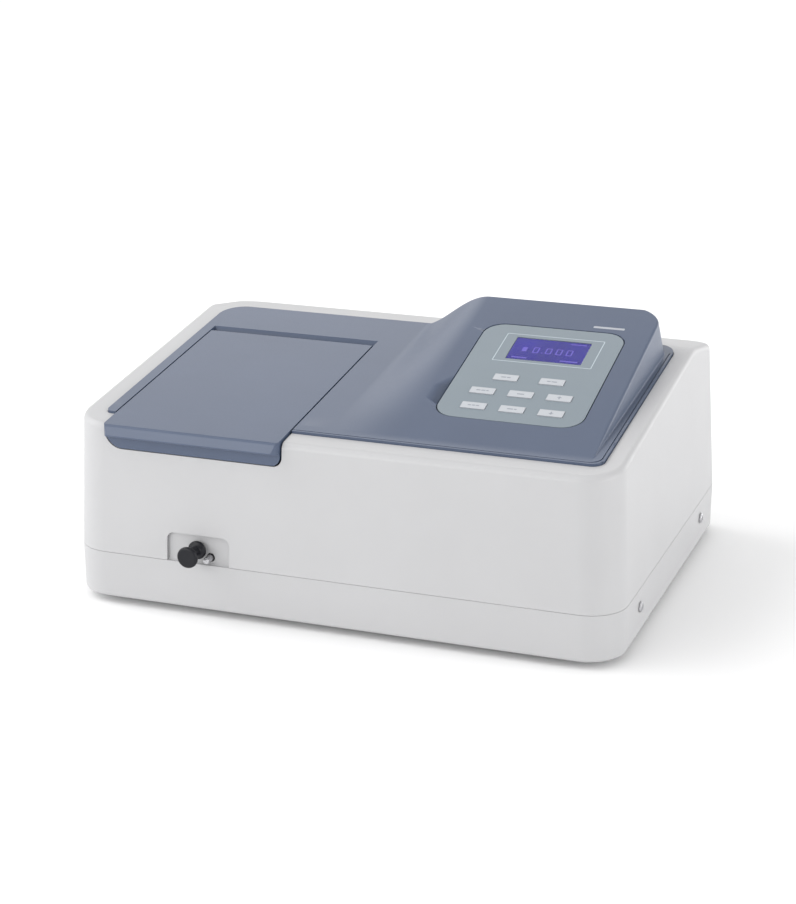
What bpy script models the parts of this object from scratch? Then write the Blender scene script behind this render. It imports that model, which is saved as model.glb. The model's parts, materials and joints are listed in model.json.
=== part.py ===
"""Bench spectrophotometer with a hinged sample lid and a pull-rod cell changer.

Every length below is in millimetres. The helpers turn it into metres where a mesh or a
location is made. The body frame has X to the right, Y to the rear from the front face at
the parting line, and Z up from the lower edge of the base. The empty "spectrophotometer"
carries that frame, so that the object stands on Z = 0 with its centre on the Z axis.
"""

import math

import bmesh
import bpy
from mathutils import Euler, Matrix, Vector

MM = 0.001
GAP = 0.3

# Body: a drafted box, 40 mm of it base tray, with a top that rises to a crest.
BODY_WIDTH = 470.0
BODY_DEPTH = 364.0
PARTING_Z = 40.0
WALL = 3.0
DRAFT = math.radians(3.3)
LEFT_DRAFT = math.radians(1.2)
REAR_DRAFT = math.radians(1.8)
BASE_DRAFT = math.radians(0.4)
FRONT_CORNER = 32.0
REAR_CORNER = 25.0
TOP_EDGE_RADIUS = 5.0
BASE_EDGE_RADIUS = 3.0
FOOT_HEIGHT = 6.0

# Deck: the blue-grey panel, which slopes up to the rear.
DECK_SLOPE = math.radians(6.8)
DECK_FRONT_Y = 27.4
DECK_FRONT_Z = 153.86
DECK_REAR_Y = 278.0
DECK_LEFT = -211.0
DECK_RIGHT = 211.4
DECK_PROUD = 2.0
DECK_THICKNESS = 3.0
CREST_Y = 281.0
FALL_SLOPE = math.radians(10.4)

# Pod: the steeper wedge on the right of the deck, which carries the keypad.
POD_SLOPE = math.radians(14.0)
POD_FRONT_Y = 36.0
POD_CREST_Y = 275.2
POD_BACK_Y = 277.4
POD_BLEND_LEFT = -14.0
POD_BLEND_RIGHT = 42.0
POD_SIDE_X = 202.2
POD_SIDE_TOP_LEAN = -0.013
POD_SIDE_FOOT_LEAN = 0.0155

# Keypad, in the pod's own plane: X across, Y up the slope from the pod's front line.
OVERLAY_LOW = (56.5, 40.3)
OVERLAY_HIGH = (180.3, 198.9)
OVERLAY_RADIUS = 18.0
OVERLAY_LEDGE = 5.0
OVERLAY_BOTTOM = -1.3
OVERLAY_TOP = -0.1
DISPLAY_CENTRE = (121.2, 159.7)
DISPLAY_SIZE = (65.4, 37.6)
KEY_SIZE = (20.6, 9.3)
KEY_TOP = 0.5
KEY_CENTRES = (
    (99.2, 108.7),
    (138.6, 108.7),
    (86.6, 84.5),
    (119.0, 84.5),
    (151.6, 84.5),
    (86.6, 60.0),
    (119.0, 60.0),
    (151.6, 60.0),
)

# Lid over the sample compartment, in the left of the deck.
LID_LEFT = -200.3
LID_RIGHT = -46.0
LID_FRONT_Y = -2.5
LID_REAR_Y = 216.0
LID_CLEARANCE = 1.4
LIP_HEIGHT = 9.5
SKIRT_Y = 4.7
SKIRT_REAR_Y = 20.0
SKIRT_BOTTOM_Z = 130.0
SKIRT_CORNER_LEFT = 16.0
SKIRT_CORNER_RIGHT = 8.0
LID_FLANGE = 8.0
LID_WALL = 3.0
RECESS_REAR_Y = 226.0
HINGE_Y = 217.0
HINGE_Z = 171.0
HINGE_BARREL_RADIUS = 3.2
HINGE_PIN_RADIUS = 1.5
HINGE_EARS_X = (-176.0, -71.0)
HINGE_EAR_WIDTH = 6.0

# Sample compartment and its changer. The beam runs along X at BEAM_Y, BEAM_Z.
WELL_LEFT = -192.0
WELL_RIGHT = -55.0
WELL_FRONT_Y = 24.0
WELL_REAR_Y = 207.0
WELL_BOTTOM_Z = 36.0
WELL_WALL = 2.0
BEAM_Y = 102.0
BEAM_Z = 75.0
CELL_PITCH = 15.5
CELL_COUNT = 4
CELL_POCKET = 13.0
CARRIAGE_X = -120.0
CARRIAGE_HALF_WIDTH = 12.0
CARRIAGE_TOP_Z = 90.0
POCKET_FLOOR_Z = 60.0
ROD_X = -118.0
ROD_Z = 52.3
ROD_RADIUS = 3.0
GUIDE_X = -108.0
GUIDE_Z = 45.5
GUIDE_RADIUS = 2.75
GUIDE_FRONT_Y = -6.0
KNOB_FRONT_Y = -21.0
KNOB_REAR_Y = 0.9

# Niche in the upper housing around the knob, backed by a tab of the base tray.
NICHE_LEFT = -145.8
NICHE_RIGHT = -90.2
NICHE_TOP_Z = 64.0
NICHE_CORNER = 6.0
NICHE_DEPTH = 3.4
TAB_THICKNESS = 3.0

# Rear panel with the electrical fittings.
PANEL_LOW = (40.0, 46.0)
PANEL_HIGH = (209.0, 128.0)
PANEL_Y = 354.5
PANEL_THICKNESS = 2.0
FAN_CENTRE = (78.0, 87.0)
FAN_SIZE = 60.0
FAN_FRONT_Y = 338.0
INLET_CENTRE = (178.0, 68.0)
FUSE_CENTRE = (178.0, 104.0)
SWITCH_CENTRE = (139.0, 69.0)
ROCKER_TILT = math.radians(7.0)
PORT_CENTRE = (139.0, 104.0)

# Optics on the bench plate.
BENCH_LOW = (-45.0, 55.0, 30.0)
BENCH_HIGH = (215.0, 262.0, 36.0)
MONO_LOW = (-40.0, 60.0, 36.3)
MONO_HIGH = (100.0, 250.0, 104.0)
MONO_WALL = 4.0
ENTRANCE_Y = 225.0
GRATING_X = -16.0
GRATING_Y = 150.0
LAMP_X = 184.0
FILTER_WHEEL_X = 118.0
FILTER_CENTRE_Y = 203.0
FILTER_RADIUS = 30.0

SCREW_Y = (71.6, 293.0)
SCREW_Z = 24.0
SCREW_HEAD_RADIUS = 4.8
SCREW_HEAD_HEIGHT = 2.4
FOOT_RADIUS = 10.0
FOOT_X = 195.0
FOOT_Y = (42.0, 325.0)

CENTRE_Y = (KNOB_FRONT_Y + BODY_DEPTH) / 2


# ---------------------------------------------------------------- scene and helpers


def clear_scene():
    for obj in list(bpy.data.objects):
        bpy.data.objects.remove(obj, do_unlink=True)


def new_collection(name):
    collection = bpy.data.collections.new(name)
    bpy.context.scene.collection.children.link(collection)
    return collection


clear_scene()
PARTS = new_collection("spectrophotometer_parts")
CUTTERS = new_collection("cutters")
FRAMES = {}


def metres(values):
    return Vector(values) * MM


def frame_empty(name, place=(0.0, 0.0, 0.0), rotation=(0.0, 0.0, 0.0)):
    """An empty that parts hang from. Its place is in the body frame."""
    empty = bpy.data.objects.new(name, None)
    empty.empty_display_size = 0.02
    PARTS.objects.link(empty)
    empty.location = metres(place)
    empty.rotation_euler = rotation
    if FRAMES:
        empty.parent = FRAMES["spectrophotometer"]
    FRAMES[name] = empty
    return empty


frame_empty("spectrophotometer", (0.0, -CENTRE_Y, FOOT_HEIGHT))


def finish(name, colour, roughness, metallic=0.0, transmission=0.0):
    material = bpy.data.materials.new(name)
    material.use_nodes = True
    shader = material.node_tree.nodes["Principled BSDF"]
    shader.inputs["Base Color"].default_value = (*colour, 1.0)
    shader.inputs["Roughness"].default_value = roughness
    shader.inputs["Metallic"].default_value = metallic
    shader.inputs["Transmission Weight"].default_value = transmission
    material.diffuse_color = (*colour, 1.0)
    return material


WHITE = finish("white_housing", (0.78, 0.78, 0.79), 0.45)
BLUE_GREY = finish("blue_grey_panel", (0.20, 0.235, 0.31), 0.35)
OVERLAY = finish("keypad_film", (0.33, 0.40, 0.46), 0.4)
KEY_WHITE = finish("key_white", (0.75, 0.77, 0.80), 0.4)
INDIGO = finish("display_indigo", (0.05, 0.04, 0.42), 0.25)
CLEAR = finish("clear_glass", (0.9, 0.93, 0.95), 0.05, 0.0, 0.9)
BLACK = finish("black_plastic", (0.015, 0.015, 0.018), 0.4)
ANODISED = finish("black_anodised", (0.02, 0.02, 0.022), 0.55, 0.6)
RUBBER = finish("black_rubber", (0.02, 0.02, 0.02), 0.85)
STEEL = finish("polished_steel", (0.72, 0.72, 0.73), 0.2, 1.0)
ZINC = finish("zinc_plated_steel", (0.6, 0.6, 0.58), 0.4, 1.0)
ALUMINIUM = finish("cast_aluminium", (0.5, 0.5, 0.5), 0.5, 1.0)
MIRROR = finish("mirror_coating", (0.9, 0.9, 0.92), 0.03, 1.0)
BOARD_GREEN = finish("circuit_board", (0.03, 0.16, 0.07), 0.5)


def place(obj, parent, point, rotation):
    """Parent an object and put its origin at a point of the parent's own frame."""
    obj.parent = FRAMES[parent]
    obj.location = metres(point)
    obj.rotation_euler = rotation


def add_part(name, mesh, material, parent, point=(0.0, 0.0, 0.0), rotation=(0.0, 0.0, 0.0)):
    mesh.name = name
    mesh.materials.clear()
    mesh.materials.append(material)
    obj = bpy.data.objects.new(name, mesh)
    PARTS.objects.link(obj)
    place(obj, parent, point, rotation)
    return obj


def add_tool(name, mesh, parent="spectrophotometer", point=(0.0, 0.0, 0.0)):
    """A hidden shape for a Boolean modifier."""
    obj = bpy.data.objects.new(name, mesh)
    CUTTERS.objects.link(obj)
    obj.hide_render = True
    obj.display_type = "WIRE"
    place(obj, parent, point, (0.0, 0.0, 0.0))
    return obj


def boolean(obj, tool, operation):
    modifier = obj.modifiers.new(f"{operation.lower()}_{tool.name}", "BOOLEAN")
    modifier.operation = operation
    modifier.object = tool
    modifier.solver = "EXACT"


def cut(obj, name, mesh, parent="spectrophotometer"):
    boolean(obj, add_tool(f"cut_{obj.name}_{name}", mesh, parent), "DIFFERENCE")


def join(obj, name, mesh, parent="spectrophotometer"):
    boolean(obj, add_tool(f"join_{obj.name}_{name}", mesh, parent), "UNION")


def keep_inside(obj, name, mesh, parent="spectrophotometer"):
    boolean(obj, add_tool(f"keep_{obj.name}_{name}", mesh, parent), "INTERSECT")


def mesh_from(build):
    """Run a bmesh recipe and return its mesh."""
    work = bmesh.new()
    build(work)
    mesh = bpy.data.meshes.new("shape")
    work.to_mesh(mesh)
    work.free()
    return mesh


def smooth(mesh, degrees=35.0):
    mesh.shade_smooth()
    mesh.set_sharp_from_angle(angle=math.radians(degrees))
    return mesh


def boxes(*corner_pairs):
    """One mesh that holds a box for each (low corner, high corner) pair."""

    def build(work):
        for low, high in corner_pairs:
            size = metres(high) - metres(low)
            middle = (metres(high) + metres(low)) / 2
            matrix = Matrix.Translation(middle) @ Matrix.Diagonal((*size, 1.0))
            bmesh.ops.create_cube(work, size=1.0, matrix=matrix)

    return mesh_from(build)


def bevelled_box(low, high, radius, segments=2):
    def build(work):
        size = metres(high) - metres(low)
        middle = (metres(high) + metres(low)) / 2
        matrix = Matrix.Translation(middle) @ Matrix.Diagonal((*size, 1.0))
        bmesh.ops.create_cube(work, size=1.0, matrix=matrix)
        bmesh.ops.bevel(
            work,
            geom=list(work.edges),
            offset=radius * MM,
            segments=segments,
            affect="EDGES",
            profile=0.5,
        )

    return smooth(mesh_from(build))


AXIS_TURN = {
    "X": Euler((0.0, math.pi / 2, 0.0)).to_matrix().to_4x4(),
    "Y": Euler((-math.pi / 2, 0.0, 0.0)).to_matrix().to_4x4(),
    "Z": Matrix.Identity(4),
}


def cylinders(axis, radius, low, high, *centres, segments=24):
    """One mesh with a cylinder for each centre, a pair across the axis in X, Y, Z order."""

    def build(work):
        for first, second in centres:
            middle = (low + high) / 2
            spot = {
                "X": (middle, first, second),
                "Y": (first, middle, second),
                "Z": (first, second, middle),
            }[axis]
            bmesh.ops.create_cone(
                work,
                cap_ends=True,
                segments=segments,
                radius1=radius * MM,
                radius2=radius * MM,
                depth=(high - low) * MM,
                matrix=Matrix.Translation(metres(spot)) @ AXIS_TURN[axis],
            )

    return smooth(mesh_from(build))


def turned(name, profile, material, axis, point, parent="spectrophotometer", steps=24):
    """A solid of revolution. The profile lists (radius, height) from top to bottom."""

    def build(work):
        points = [work.verts.new(metres((r, 0.0, h))) for r, h in profile]
        for first, second in zip(points, points[1:]):
            work.edges.new((first, second))

    obj = add_part(name, mesh_from(build), material, parent, point)
    obj.rotation_euler = AXIS_TURN[axis].to_euler()
    screw = obj.modifiers.new("turn", "SCREW")
    screw.axis = "Z"
    screw.steps = steps
    screw.render_steps = steps
    screw.use_merge_vertices = True
    screw.merge_threshold = 0.00001
    screw.use_smooth_shade = True
    return obj


def rounded(corners, segments=4):
    """Outline points of a polygon whose corners are (x, y, radius)."""
    points = []
    count = len(corners)
    for index, (x, y, radius) in enumerate(corners):
        corner = Vector((x, y))
        if radius == 0:
            points.append(corner)
            continue
        before = (Vector(corners[index - 1][:2]) - corner).normalized()
        after = (Vector(corners[(index + 1) % count][:2]) - corner).normalized()
        half = before.angle(after) / 2
        centre = corner + (before + after).normalized() * (radius / math.sin(half))
        start = corner + before * (radius / math.tan(half)) - centre
        end = corner + after * (radius / math.tan(half)) - centre
        turn = start.angle_signed(end)
        for step in range(segments + 1):
            angle = -turn * step / segments
            points.append(centre + Matrix.Rotation(angle, 2) @ start)
    return points


# How an outline's plane and its thickness lie for each direction of extrusion.
OUTLINE_TURN = {
    "X": Matrix(((0, 0, 1, 0), (1, 0, 0, 0), (0, 1, 0, 0), (0, 0, 0, 1))),
    "Y": Matrix(((1, 0, 0, 0), (0, 0, -1, 0), (0, 1, 0, 0), (0, 0, 0, 1))),
    "Z": Matrix.Identity(4),
}


def prism(axis, outline, low, high):
    """A flat outline extruded from low to high along an axis.

    The outline is (y, z) for X, (x, z) for Y and (x, y) for Z.
    """
    data = bpy.data.curves.new("outline", "CURVE")
    data.dimensions = "2D"
    data.fill_mode = "BOTH"
    data.extrude = (high - low) / 2 * MM
    spline = data.splines.new("POLY")
    spline.points.add(len(outline) - 1)
    for point, (u, v) in zip(spline.points, outline):
        point.co = (u * MM, v * MM, 0.0, 1.0)
    spline.use_cyclic_u = True
    curve = bpy.data.objects.new("outline", data)
    bpy.context.scene.collection.objects.link(curve)
    graph = bpy.context.evaluated_depsgraph_get()
    mesh = bpy.data.meshes.new_from_object(curve.evaluated_get(graph))
    bpy.data.objects.remove(curve)
    along = {"X": (1, 0, 0), "Y": (0, 1, 0), "Z": (0, 0, 1)}[axis]
    middle = metres(along) * ((low + high) / 2)

    work = bmesh.new()
    work.from_mesh(mesh)
    bmesh.ops.remove_doubles(work, verts=work.verts, dist=0.00001)
    bmesh.ops.dissolve_limit(
        work, angle_limit=math.radians(0.3), verts=work.verts, edges=work.edges
    )
    bmesh.ops.transform(
        work, matrix=Matrix.Translation(middle) @ OUTLINE_TURN[axis], verts=work.verts
    )
    bmesh.ops.recalc_face_normals(work, faces=work.faces)
    work.to_mesh(mesh)
    work.free()
    return mesh


def rectangle(low, high, radius=0.0, segments=4):
    corners = (
        (low[0], low[1], radius),
        (high[0], low[1], radius),
        (high[0], high[1], radius),
        (low[0], high[1], radius),
    )
    return rounded(corners, segments)


# ---------------------------------------------------------------- shared surfaces


def deck_z(y):
    return DECK_FRONT_Z + (y - DECK_FRONT_Y) * math.tan(DECK_SLOPE)


def rim_z(y):
    """Top of the white housing beside the deck."""
    return deck_z(y) - DECK_PROUD


def front_y(z):
    """Outer front face of the upper housing."""
    return (z - PARTING_Z) * math.tan(DRAFT)


def deck_strip(low_y, high_y, top, bottom):
    """Side outline of a plate parallel to the deck, at depths below its surface."""
    return (
        (low_y, deck_z(low_y) - bottom),
        (high_y, deck_z(high_y) - bottom),
        (high_y, deck_z(high_y) - top),
        (low_y, deck_z(low_y) - top),
    )


# ---------------------------------------------------------------- casings


def plan_outline():
    """Outline of the body at the parting line."""
    half = BODY_WIDTH / 2
    return rounded(
        (
            (-half, 0.0, FRONT_CORNER),
            (half, 0.0, FRONT_CORNER),
            (half, BODY_DEPTH, REAR_CORNER),
            (-half, BODY_DEPTH, REAR_CORNER),
        ),
        segments=6,
    )


def drafted_block(low, high, left_draft, front_draft, rear_draft):
    """A block on the body's plan whose walls lean inwards away from the parting line.

    The right wall leans as much as the front.
    """
    mesh = prism("Z", plan_outline(), low, high)
    work = bmesh.new()
    work.from_mesh(mesh)
    for vert in work.verts:
        rise = abs(vert.co.z - PARTING_Z * MM)
        if vert.co.x < 0.0:
            vert.co.x += rise * math.tan(left_draft)
        else:
            vert.co.x -= rise * math.tan(front_draft)
        if vert.co.y < BODY_DEPTH / 2 * MM:
            vert.co.y += rise * math.tan(front_draft)
        else:
            vert.co.y -= rise * math.tan(rear_draft)
    return mesh, work


def slice_top(work, point, slope):
    """Cut away what is above a plane through a point, which rises to the rear."""
    normal = Vector((0.0, -math.sin(slope), math.cos(slope)))
    geometry = list(work.verts) + list(work.edges) + list(work.faces)
    bmesh.ops.bisect_plane(
        work, geom=geometry, plane_co=metres(point), plane_no=normal, clear_outer=True
    )
    rim = [edge for edge in work.edges if edge.is_boundary]
    bmesh.ops.contextual_create(work, geom=rim)
    work.normal_update()


def open_shell(name, mesh, work, mouth_side, edge_radius):
    """Round the closed end's rim, open the other end and give the walls their thickness."""
    work.normal_update()

    def at_rim(edge):
        heights = sorted(-mouth_side * face.normal.z for face in edge.link_faces)
        return len(heights) == 2 and heights[0] < 0.5 and heights[1] > 0.8

    bmesh.ops.bevel(
        work,
        geom=[edge for edge in work.edges if at_rim(edge)],
        offset=edge_radius * MM,
        segments=2,
        affect="EDGES",
        profile=0.5,
    )
    work.normal_update()
    mouth = [face for face in work.faces if mouth_side * face.normal.z > 0.99]
    bmesh.ops.delete(work, geom=mouth, context="FACES")
    work.to_mesh(mesh)
    work.free()
    obj = add_part(name, smooth(mesh), WHITE, "spectrophotometer")
    shell = obj.modifiers.new("wall", "SOLIDIFY")
    shell.thickness = WALL * MM
    shell.offset = -1.0
    shell.use_even_offset = True
    return obj


def niche_outline():
    """Front view of the opening around the knob, down to below the parting line."""
    return rounded(
        (
            (NICHE_LEFT, PARTING_Z - 5.0, 0.0),
            (NICHE_RIGHT, PARTING_Z - 5.0, 0.0),
            (NICHE_RIGHT, NICHE_TOP_Z, NICHE_CORNER),
            (NICHE_LEFT, NICHE_TOP_Z, NICHE_CORNER),
        )
    )


def notch_outline():
    """Front view of the opening that the lid's lip and skirt fill."""
    left = LID_LEFT - LID_CLEARANCE
    right = LID_RIGHT + LID_CLEARANCE
    bottom = SKIRT_BOTTOM_Z - 0.6
    return rounded(
        (
            (left, 200.0, 0.0),
            (left, bottom, SKIRT_CORNER_LEFT),
            (right, bottom, SKIRT_CORNER_RIGHT),
            (right, 200.0, 0.0),
        ),
        segments=5,
    )


def deck_outline(extra=0.0):
    return rounded(
        (
            (DECK_LEFT - extra, DECK_FRONT_Y - extra, 6.0),
            (DECK_RIGHT + extra, DECK_FRONT_Y - extra, 10.0),
            (DECK_RIGHT + extra, DECK_REAR_Y + extra, 17.0),
            (DECK_LEFT - extra, DECK_REAR_Y + extra, 22.0),
        )
    )


def make_upper_housing():
    mesh, work = drafted_block(PARTING_Z + GAP, 260.0, LEFT_DRAFT, DRAFT, REAR_DRAFT)
    crest = (0.0, CREST_Y, rim_z(CREST_Y))
    slice_top(work, crest, -FALL_SLOPE)
    slice_top(work, crest, DECK_SLOPE)
    housing = open_shell("upper_housing", mesh, work, -1, TOP_EDGE_RADIUS)
    cut(housing, "deck_opening", prism("Z", deck_outline(0.4), 120.0, 230.0))
    cut(housing, "lid_notch", prism("Y", notch_outline(), -5.0, DECK_FRONT_Y + 1.0))
    cut(housing, "knob_niche", prism("Y", niche_outline(), -5.0, 12.0))
    panel_window = rectangle(
        (PANEL_LOW[0] + 6.0, PANEL_LOW[1] + 6.0),
        (PANEL_HIGH[0] - 6.0, PANEL_HIGH[1] - 6.0),
        4.0,
    )
    cut(housing, "panel_window", prism("Y", panel_window, 352.0, 370.0))
    vents = [
        ((x, 352.0, 70.0), (x + 4.0, 370.0, 120.0)) for x in range(-200, -60, 14)
    ]
    cut(housing, "rear_vents", boxes(*vents))
    return housing


def make_base_tray():
    height = PARTING_Z - GAP
    mesh, work = drafted_block(0.0, height, BASE_DRAFT, BASE_DRAFT, BASE_DRAFT)
    tray = open_shell("base_tray", mesh, work, 1, BASE_EDGE_RADIUS)
    tab_top = NICHE_TOP_Z + 4.0
    tab = (
        (WALL - 1.0, PARTING_Z - 12.0),
        (NICHE_DEPTH + TAB_THICKNESS, PARTING_Z - 12.0),
        (NICHE_DEPTH + TAB_THICKNESS + front_y(tab_top), tab_top),
        (NICHE_DEPTH + front_y(tab_top), tab_top),
        (NICHE_DEPTH, height),
        (WALL - 1.0, height),
    )
    join(tray, "rod_tab", prism("X", tab, NICHE_LEFT - 5.0, NICHE_RIGHT + 5.0))
    cut(tray, "rod_hole", cylinders("Y", 5.3, -2.0, 12.0, (ROD_X, ROD_Z)))
    cut(tray, "guide_hole", cylinders("Y", 3.0, -2.0, 12.0, (GUIDE_X, GUIDE_Z)))
    screw_spots = [(y, SCREW_Z) for y in SCREW_Y]
    cut(tray, "screw_holes", cylinders("X", 2.4, -240.0, 240.0, *screw_spots, segments=12))
    slots = [((x, 275.0, -2.0), (x + 5.0, 330.0, 6.0)) for x in range(-30, 60, 12)]
    cut(tray, "floor_vents", boxes(*slots))
    foot_spots = [(x, y) for x in (-FOOT_X, FOOT_X) for y in FOOT_Y]
    cut(tray, "foot_holes", cylinders("Z", 2.3, -2.0, 6.0, *foot_spots, segments=12))
    return tray


def make_feet():
    """Rubber feet, each with a stud in the floor of the base."""
    profile = (
        (0.0, 2.5),
        (2.0, 2.5),
        (2.0, -GAP),
        (FOOT_RADIUS, -GAP),
        (FOOT_RADIUS, -3.0),
        (FOOT_RADIUS - 1.4, -FOOT_HEIGHT),
        (0.0, -FOOT_HEIGHT),
    )
    for side, x in (("left", -FOOT_X), ("right", FOOT_X)):
        for end, y in zip(("front", "rear"), FOOT_Y):
            turned(f"foot_{end}_{side}", profile, RUBBER, "Z", (x, y, 0.0), steps=20)


def cross_outline(reach, half):
    """Outline of a plus sign."""
    quarter = ((reach, -half), (reach, half), (half, half))
    points = []
    for turn in range(4):
        rotation = Matrix.Rotation(turn * math.pi / 2, 2)
        points += [rotation @ Vector(point) for point in quarter]
    return points


def make_side_screws():
    """Pan-head screws that hold the upper housing to the base from both sides."""
    head = SCREW_HEAD_HEIGHT
    profile = (
        (0.0, head),
        (SCREW_HEAD_RADIUS * 0.6, head),
        (SCREW_HEAD_RADIUS * 0.92, head * 0.65),
        (SCREW_HEAD_RADIUS, GAP),
        (2.0, GAP),
        (2.0, -9.0),
        (0.0, -9.0),
    )
    outline = cross_outline(SCREW_HEAD_RADIUS * 0.5, 0.6)
    for end, y in zip(("front", "rear"), SCREW_Y):
        for side, facing in (("left", -1), ("right", 1)):
            spot = (facing * BODY_WIDTH / 2, y, SCREW_Z)
            name = f"side_screw_{end}_{side}"
            screw = turned(name, profile, STEEL, "X", spot, steps=16)
            screw.rotation_euler = (0.0, facing * math.pi / 2, 0.0)
            tool = add_tool(f"recess_{name}", prism("Z", outline, head - 0.9, head + 1.0))
            tool.location = screw.location
            tool.rotation_euler = screw.rotation_euler
            boolean(screw, tool, "DIFFERENCE")


# ---------------------------------------------------------------- deck and pod


def pod_ramp(y):
    """Height of the pod's plane above the deck."""
    if y >= POD_BACK_Y:
        return 0.0
    return max(0.0, y - POD_FRONT_Y) * (math.tan(POD_SLOPE) - math.tan(DECK_SLOPE))


def pod_blend(x):
    """Share of the pod's height at x: an S-curve up from the deck on the left."""
    share = (x - POD_BLEND_LEFT) / (POD_BLEND_RIGHT - POD_BLEND_LEFT)
    share = min(1.0, max(0.0, share))
    return share * share * (3.0 - 2.0 * share)


def deck_columns(y):
    """X of each column of the deck's surface and its share of the pod's height."""
    run = max(0.0, min(y, POD_CREST_Y) - POD_FRONT_Y)
    blend = [
        POD_BLEND_LEFT + step * (POD_BLEND_RIGHT - POD_BLEND_LEFT) / 6 for step in range(7)
    ]
    columns = [(DECK_LEFT - 6.0, 0.0)]
    columns += [(x, pod_blend(x)) for x in blend]
    columns.append((POD_SIDE_X - 0.2 + run * POD_SIDE_TOP_LEAN, 1.0))
    columns.append((POD_SIDE_X + 0.2 + run * POD_SIDE_FOOT_LEAN, 0.0))
    columns.append((DECK_RIGHT + 6.0, 0.0))
    return columns


def make_deck_panel():
    rows = (DECK_FRONT_Y - 6.0, POD_FRONT_Y, 150.0, POD_CREST_Y, POD_BACK_Y, DECK_REAR_Y + 5.0)
    column_count = len(deck_columns(0.0))

    def build(work):
        bmesh.ops.create_grid(
            work, x_segments=column_count - 1, y_segments=len(rows) - 1, size=1.0
        )
        ordered = sorted(work.verts, key=lambda vert: (round(vert.co.y, 4), vert.co.x))
        for index, vert in enumerate(ordered):
            y = rows[index // column_count]
            x, share = deck_columns(y)[index % column_count]
            vert.co = metres((x, y, deck_z(y) + share * pod_ramp(y)))
        work.normal_update()

    deck = add_part("deck_panel", smooth(mesh_from(build)), BLUE_GREY, "spectrophotometer")
    shell = deck.modifiers.new("thickness", "SOLIDIFY")
    shell.thickness = DECK_THICKNESS * MM
    shell.offset = -1.0
    shell.use_even_offset = True
    keep_inside(deck, "outline", prism("Z", deck_outline(), 120.0, 230.0))
    left = LID_LEFT - LID_CLEARANCE
    right = LID_RIGHT + LID_CLEARANCE
    wall = deck_strip(DECK_FRONT_Y + 1.0, RECESS_REAR_Y + 2.0, 1.0, 8.7)
    join(deck, "recess_wall", prism("X", wall, left - 2.0, right + 2.0))
    opening = (
        (-10.0, 100.0),
        (RECESS_REAR_Y - 2.5, 100.0),
        (RECESS_REAR_Y - 2.5, deck_z(RECESS_REAR_Y) - 8.0),
        (RECESS_REAR_Y, deck_z(RECESS_REAR_Y)),
        (RECESS_REAR_Y, 230.0),
        (-10.0, 230.0),
    )
    cut(deck, "lid_recess", prism("X", opening, left, right))
    pocket = rectangle(OVERLAY_LOW, OVERLAY_HIGH, OVERLAY_RADIUS)
    through = rectangle(
        (OVERLAY_LOW[0] + OVERLAY_LEDGE, OVERLAY_LOW[1] + OVERLAY_LEDGE),
        (OVERLAY_HIGH[0] - OVERLAY_LEDGE, OVERLAY_HIGH[1] - OVERLAY_LEDGE),
        OVERLAY_RADIUS - OVERLAY_LEDGE,
    )
    cut(deck, "overlay_pocket", prism("Z", pocket, -1.5, 8.0), "pod_plane")
    cut(deck, "overlay_window", prism("Z", through, -12.0, 8.0), "pod_plane")
    return deck


# ---------------------------------------------------------------- keypad and display


def centred(centre, size, grow=0.0):
    low = (centre[0] - size[0] / 2 - grow, centre[1] - size[1] / 2 - grow)
    high = (centre[0] + size[0] / 2 + grow, centre[1] + size[1] / 2 + grow)
    return low, high


def make_keypad_overlay():
    low = (OVERLAY_LOW[0] + 0.5, OVERLAY_LOW[1] + 0.5)
    high = (OVERLAY_HIGH[0] - 0.5, OVERLAY_HIGH[1] - 0.5)
    sheet = prism("Z", rectangle(low, high, OVERLAY_RADIUS - 0.5), OVERLAY_BOTTOM, OVERLAY_TOP)
    overlay = add_part("keypad_overlay", sheet, OVERLAY, "pod_plane")
    holes = [centred(DISPLAY_CENTRE, DISPLAY_SIZE)]
    holes += [centred(centre, KEY_SIZE, 0.3) for centre in KEY_CENTRES]
    cutter = boxes(*(((*low, -3.0), (*high, 3.0)) for low, high in holes))
    cut(overlay, "windows", cutter, "pod_plane")


def make_display():
    low, high = centred(DISPLAY_CENTRE, DISPLAY_SIZE, -0.2)
    window = boxes(((*low, OVERLAY_BOTTOM), (*high, OVERLAY_TOP - 0.2)))
    add_part("display_window", window, CLEAR, "pod_plane")
    low, high = centred(DISPLAY_CENTRE, (80.0, 50.0))
    glass_low, glass_high = centred(DISPLAY_CENTRE, (72.0, 43.0))
    module = add_part("display_module", boxes(((*low, -8.0), (*high, -5.0))), INDIGO, "pod_plane")
    join(module, "glass", boxes(((*glass_low, -6.0), (*glass_high, -1.7))), "pod_plane")


def make_keypad_board():
    board = boxes(((58.0, 46.0, -6.2), (178.0, 124.0, -4.6)))
    add_part("keypad_board", board, BOARD_GREEN, "pod_plane")


def make_keys():
    """Each key is a cap with a retaining flange and a stem over its dome switch."""
    half_x = KEY_SIZE[0] / 2
    half_y = KEY_SIZE[1] / 2
    for number, (x, y) in enumerate(KEY_CENTRES, start=1):
        pivot = f"key_{number}_slide"
        height = math.sin(POD_SLOPE) * y
        run = math.cos(POD_SLOPE) * y
        spot = (x, POD_FRONT_Y + run, deck_z(POD_FRONT_Y) + height)
        frame_empty(pivot, spot, (POD_SLOPE, 0.0, 0.0))
        cap = boxes(((-half_x, -half_y, -2.4), (half_x, half_y, KEY_TOP)))
        key = add_part(f"key_{number}", cap, KEY_WHITE, pivot)
        flange_low = (-half_x - 0.9, -half_y - 0.9, -2.6)
        flange_high = (half_x + 0.9, half_y + 0.9, -1.9)
        join(key, "flange", boxes((flange_low, flange_high)), pivot)
        join(key, "stem", boxes(((-2.0, -2.0, -3.8), (2.0, 2.0, -2.2))), pivot)


# ---------------------------------------------------------------- lid


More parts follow.
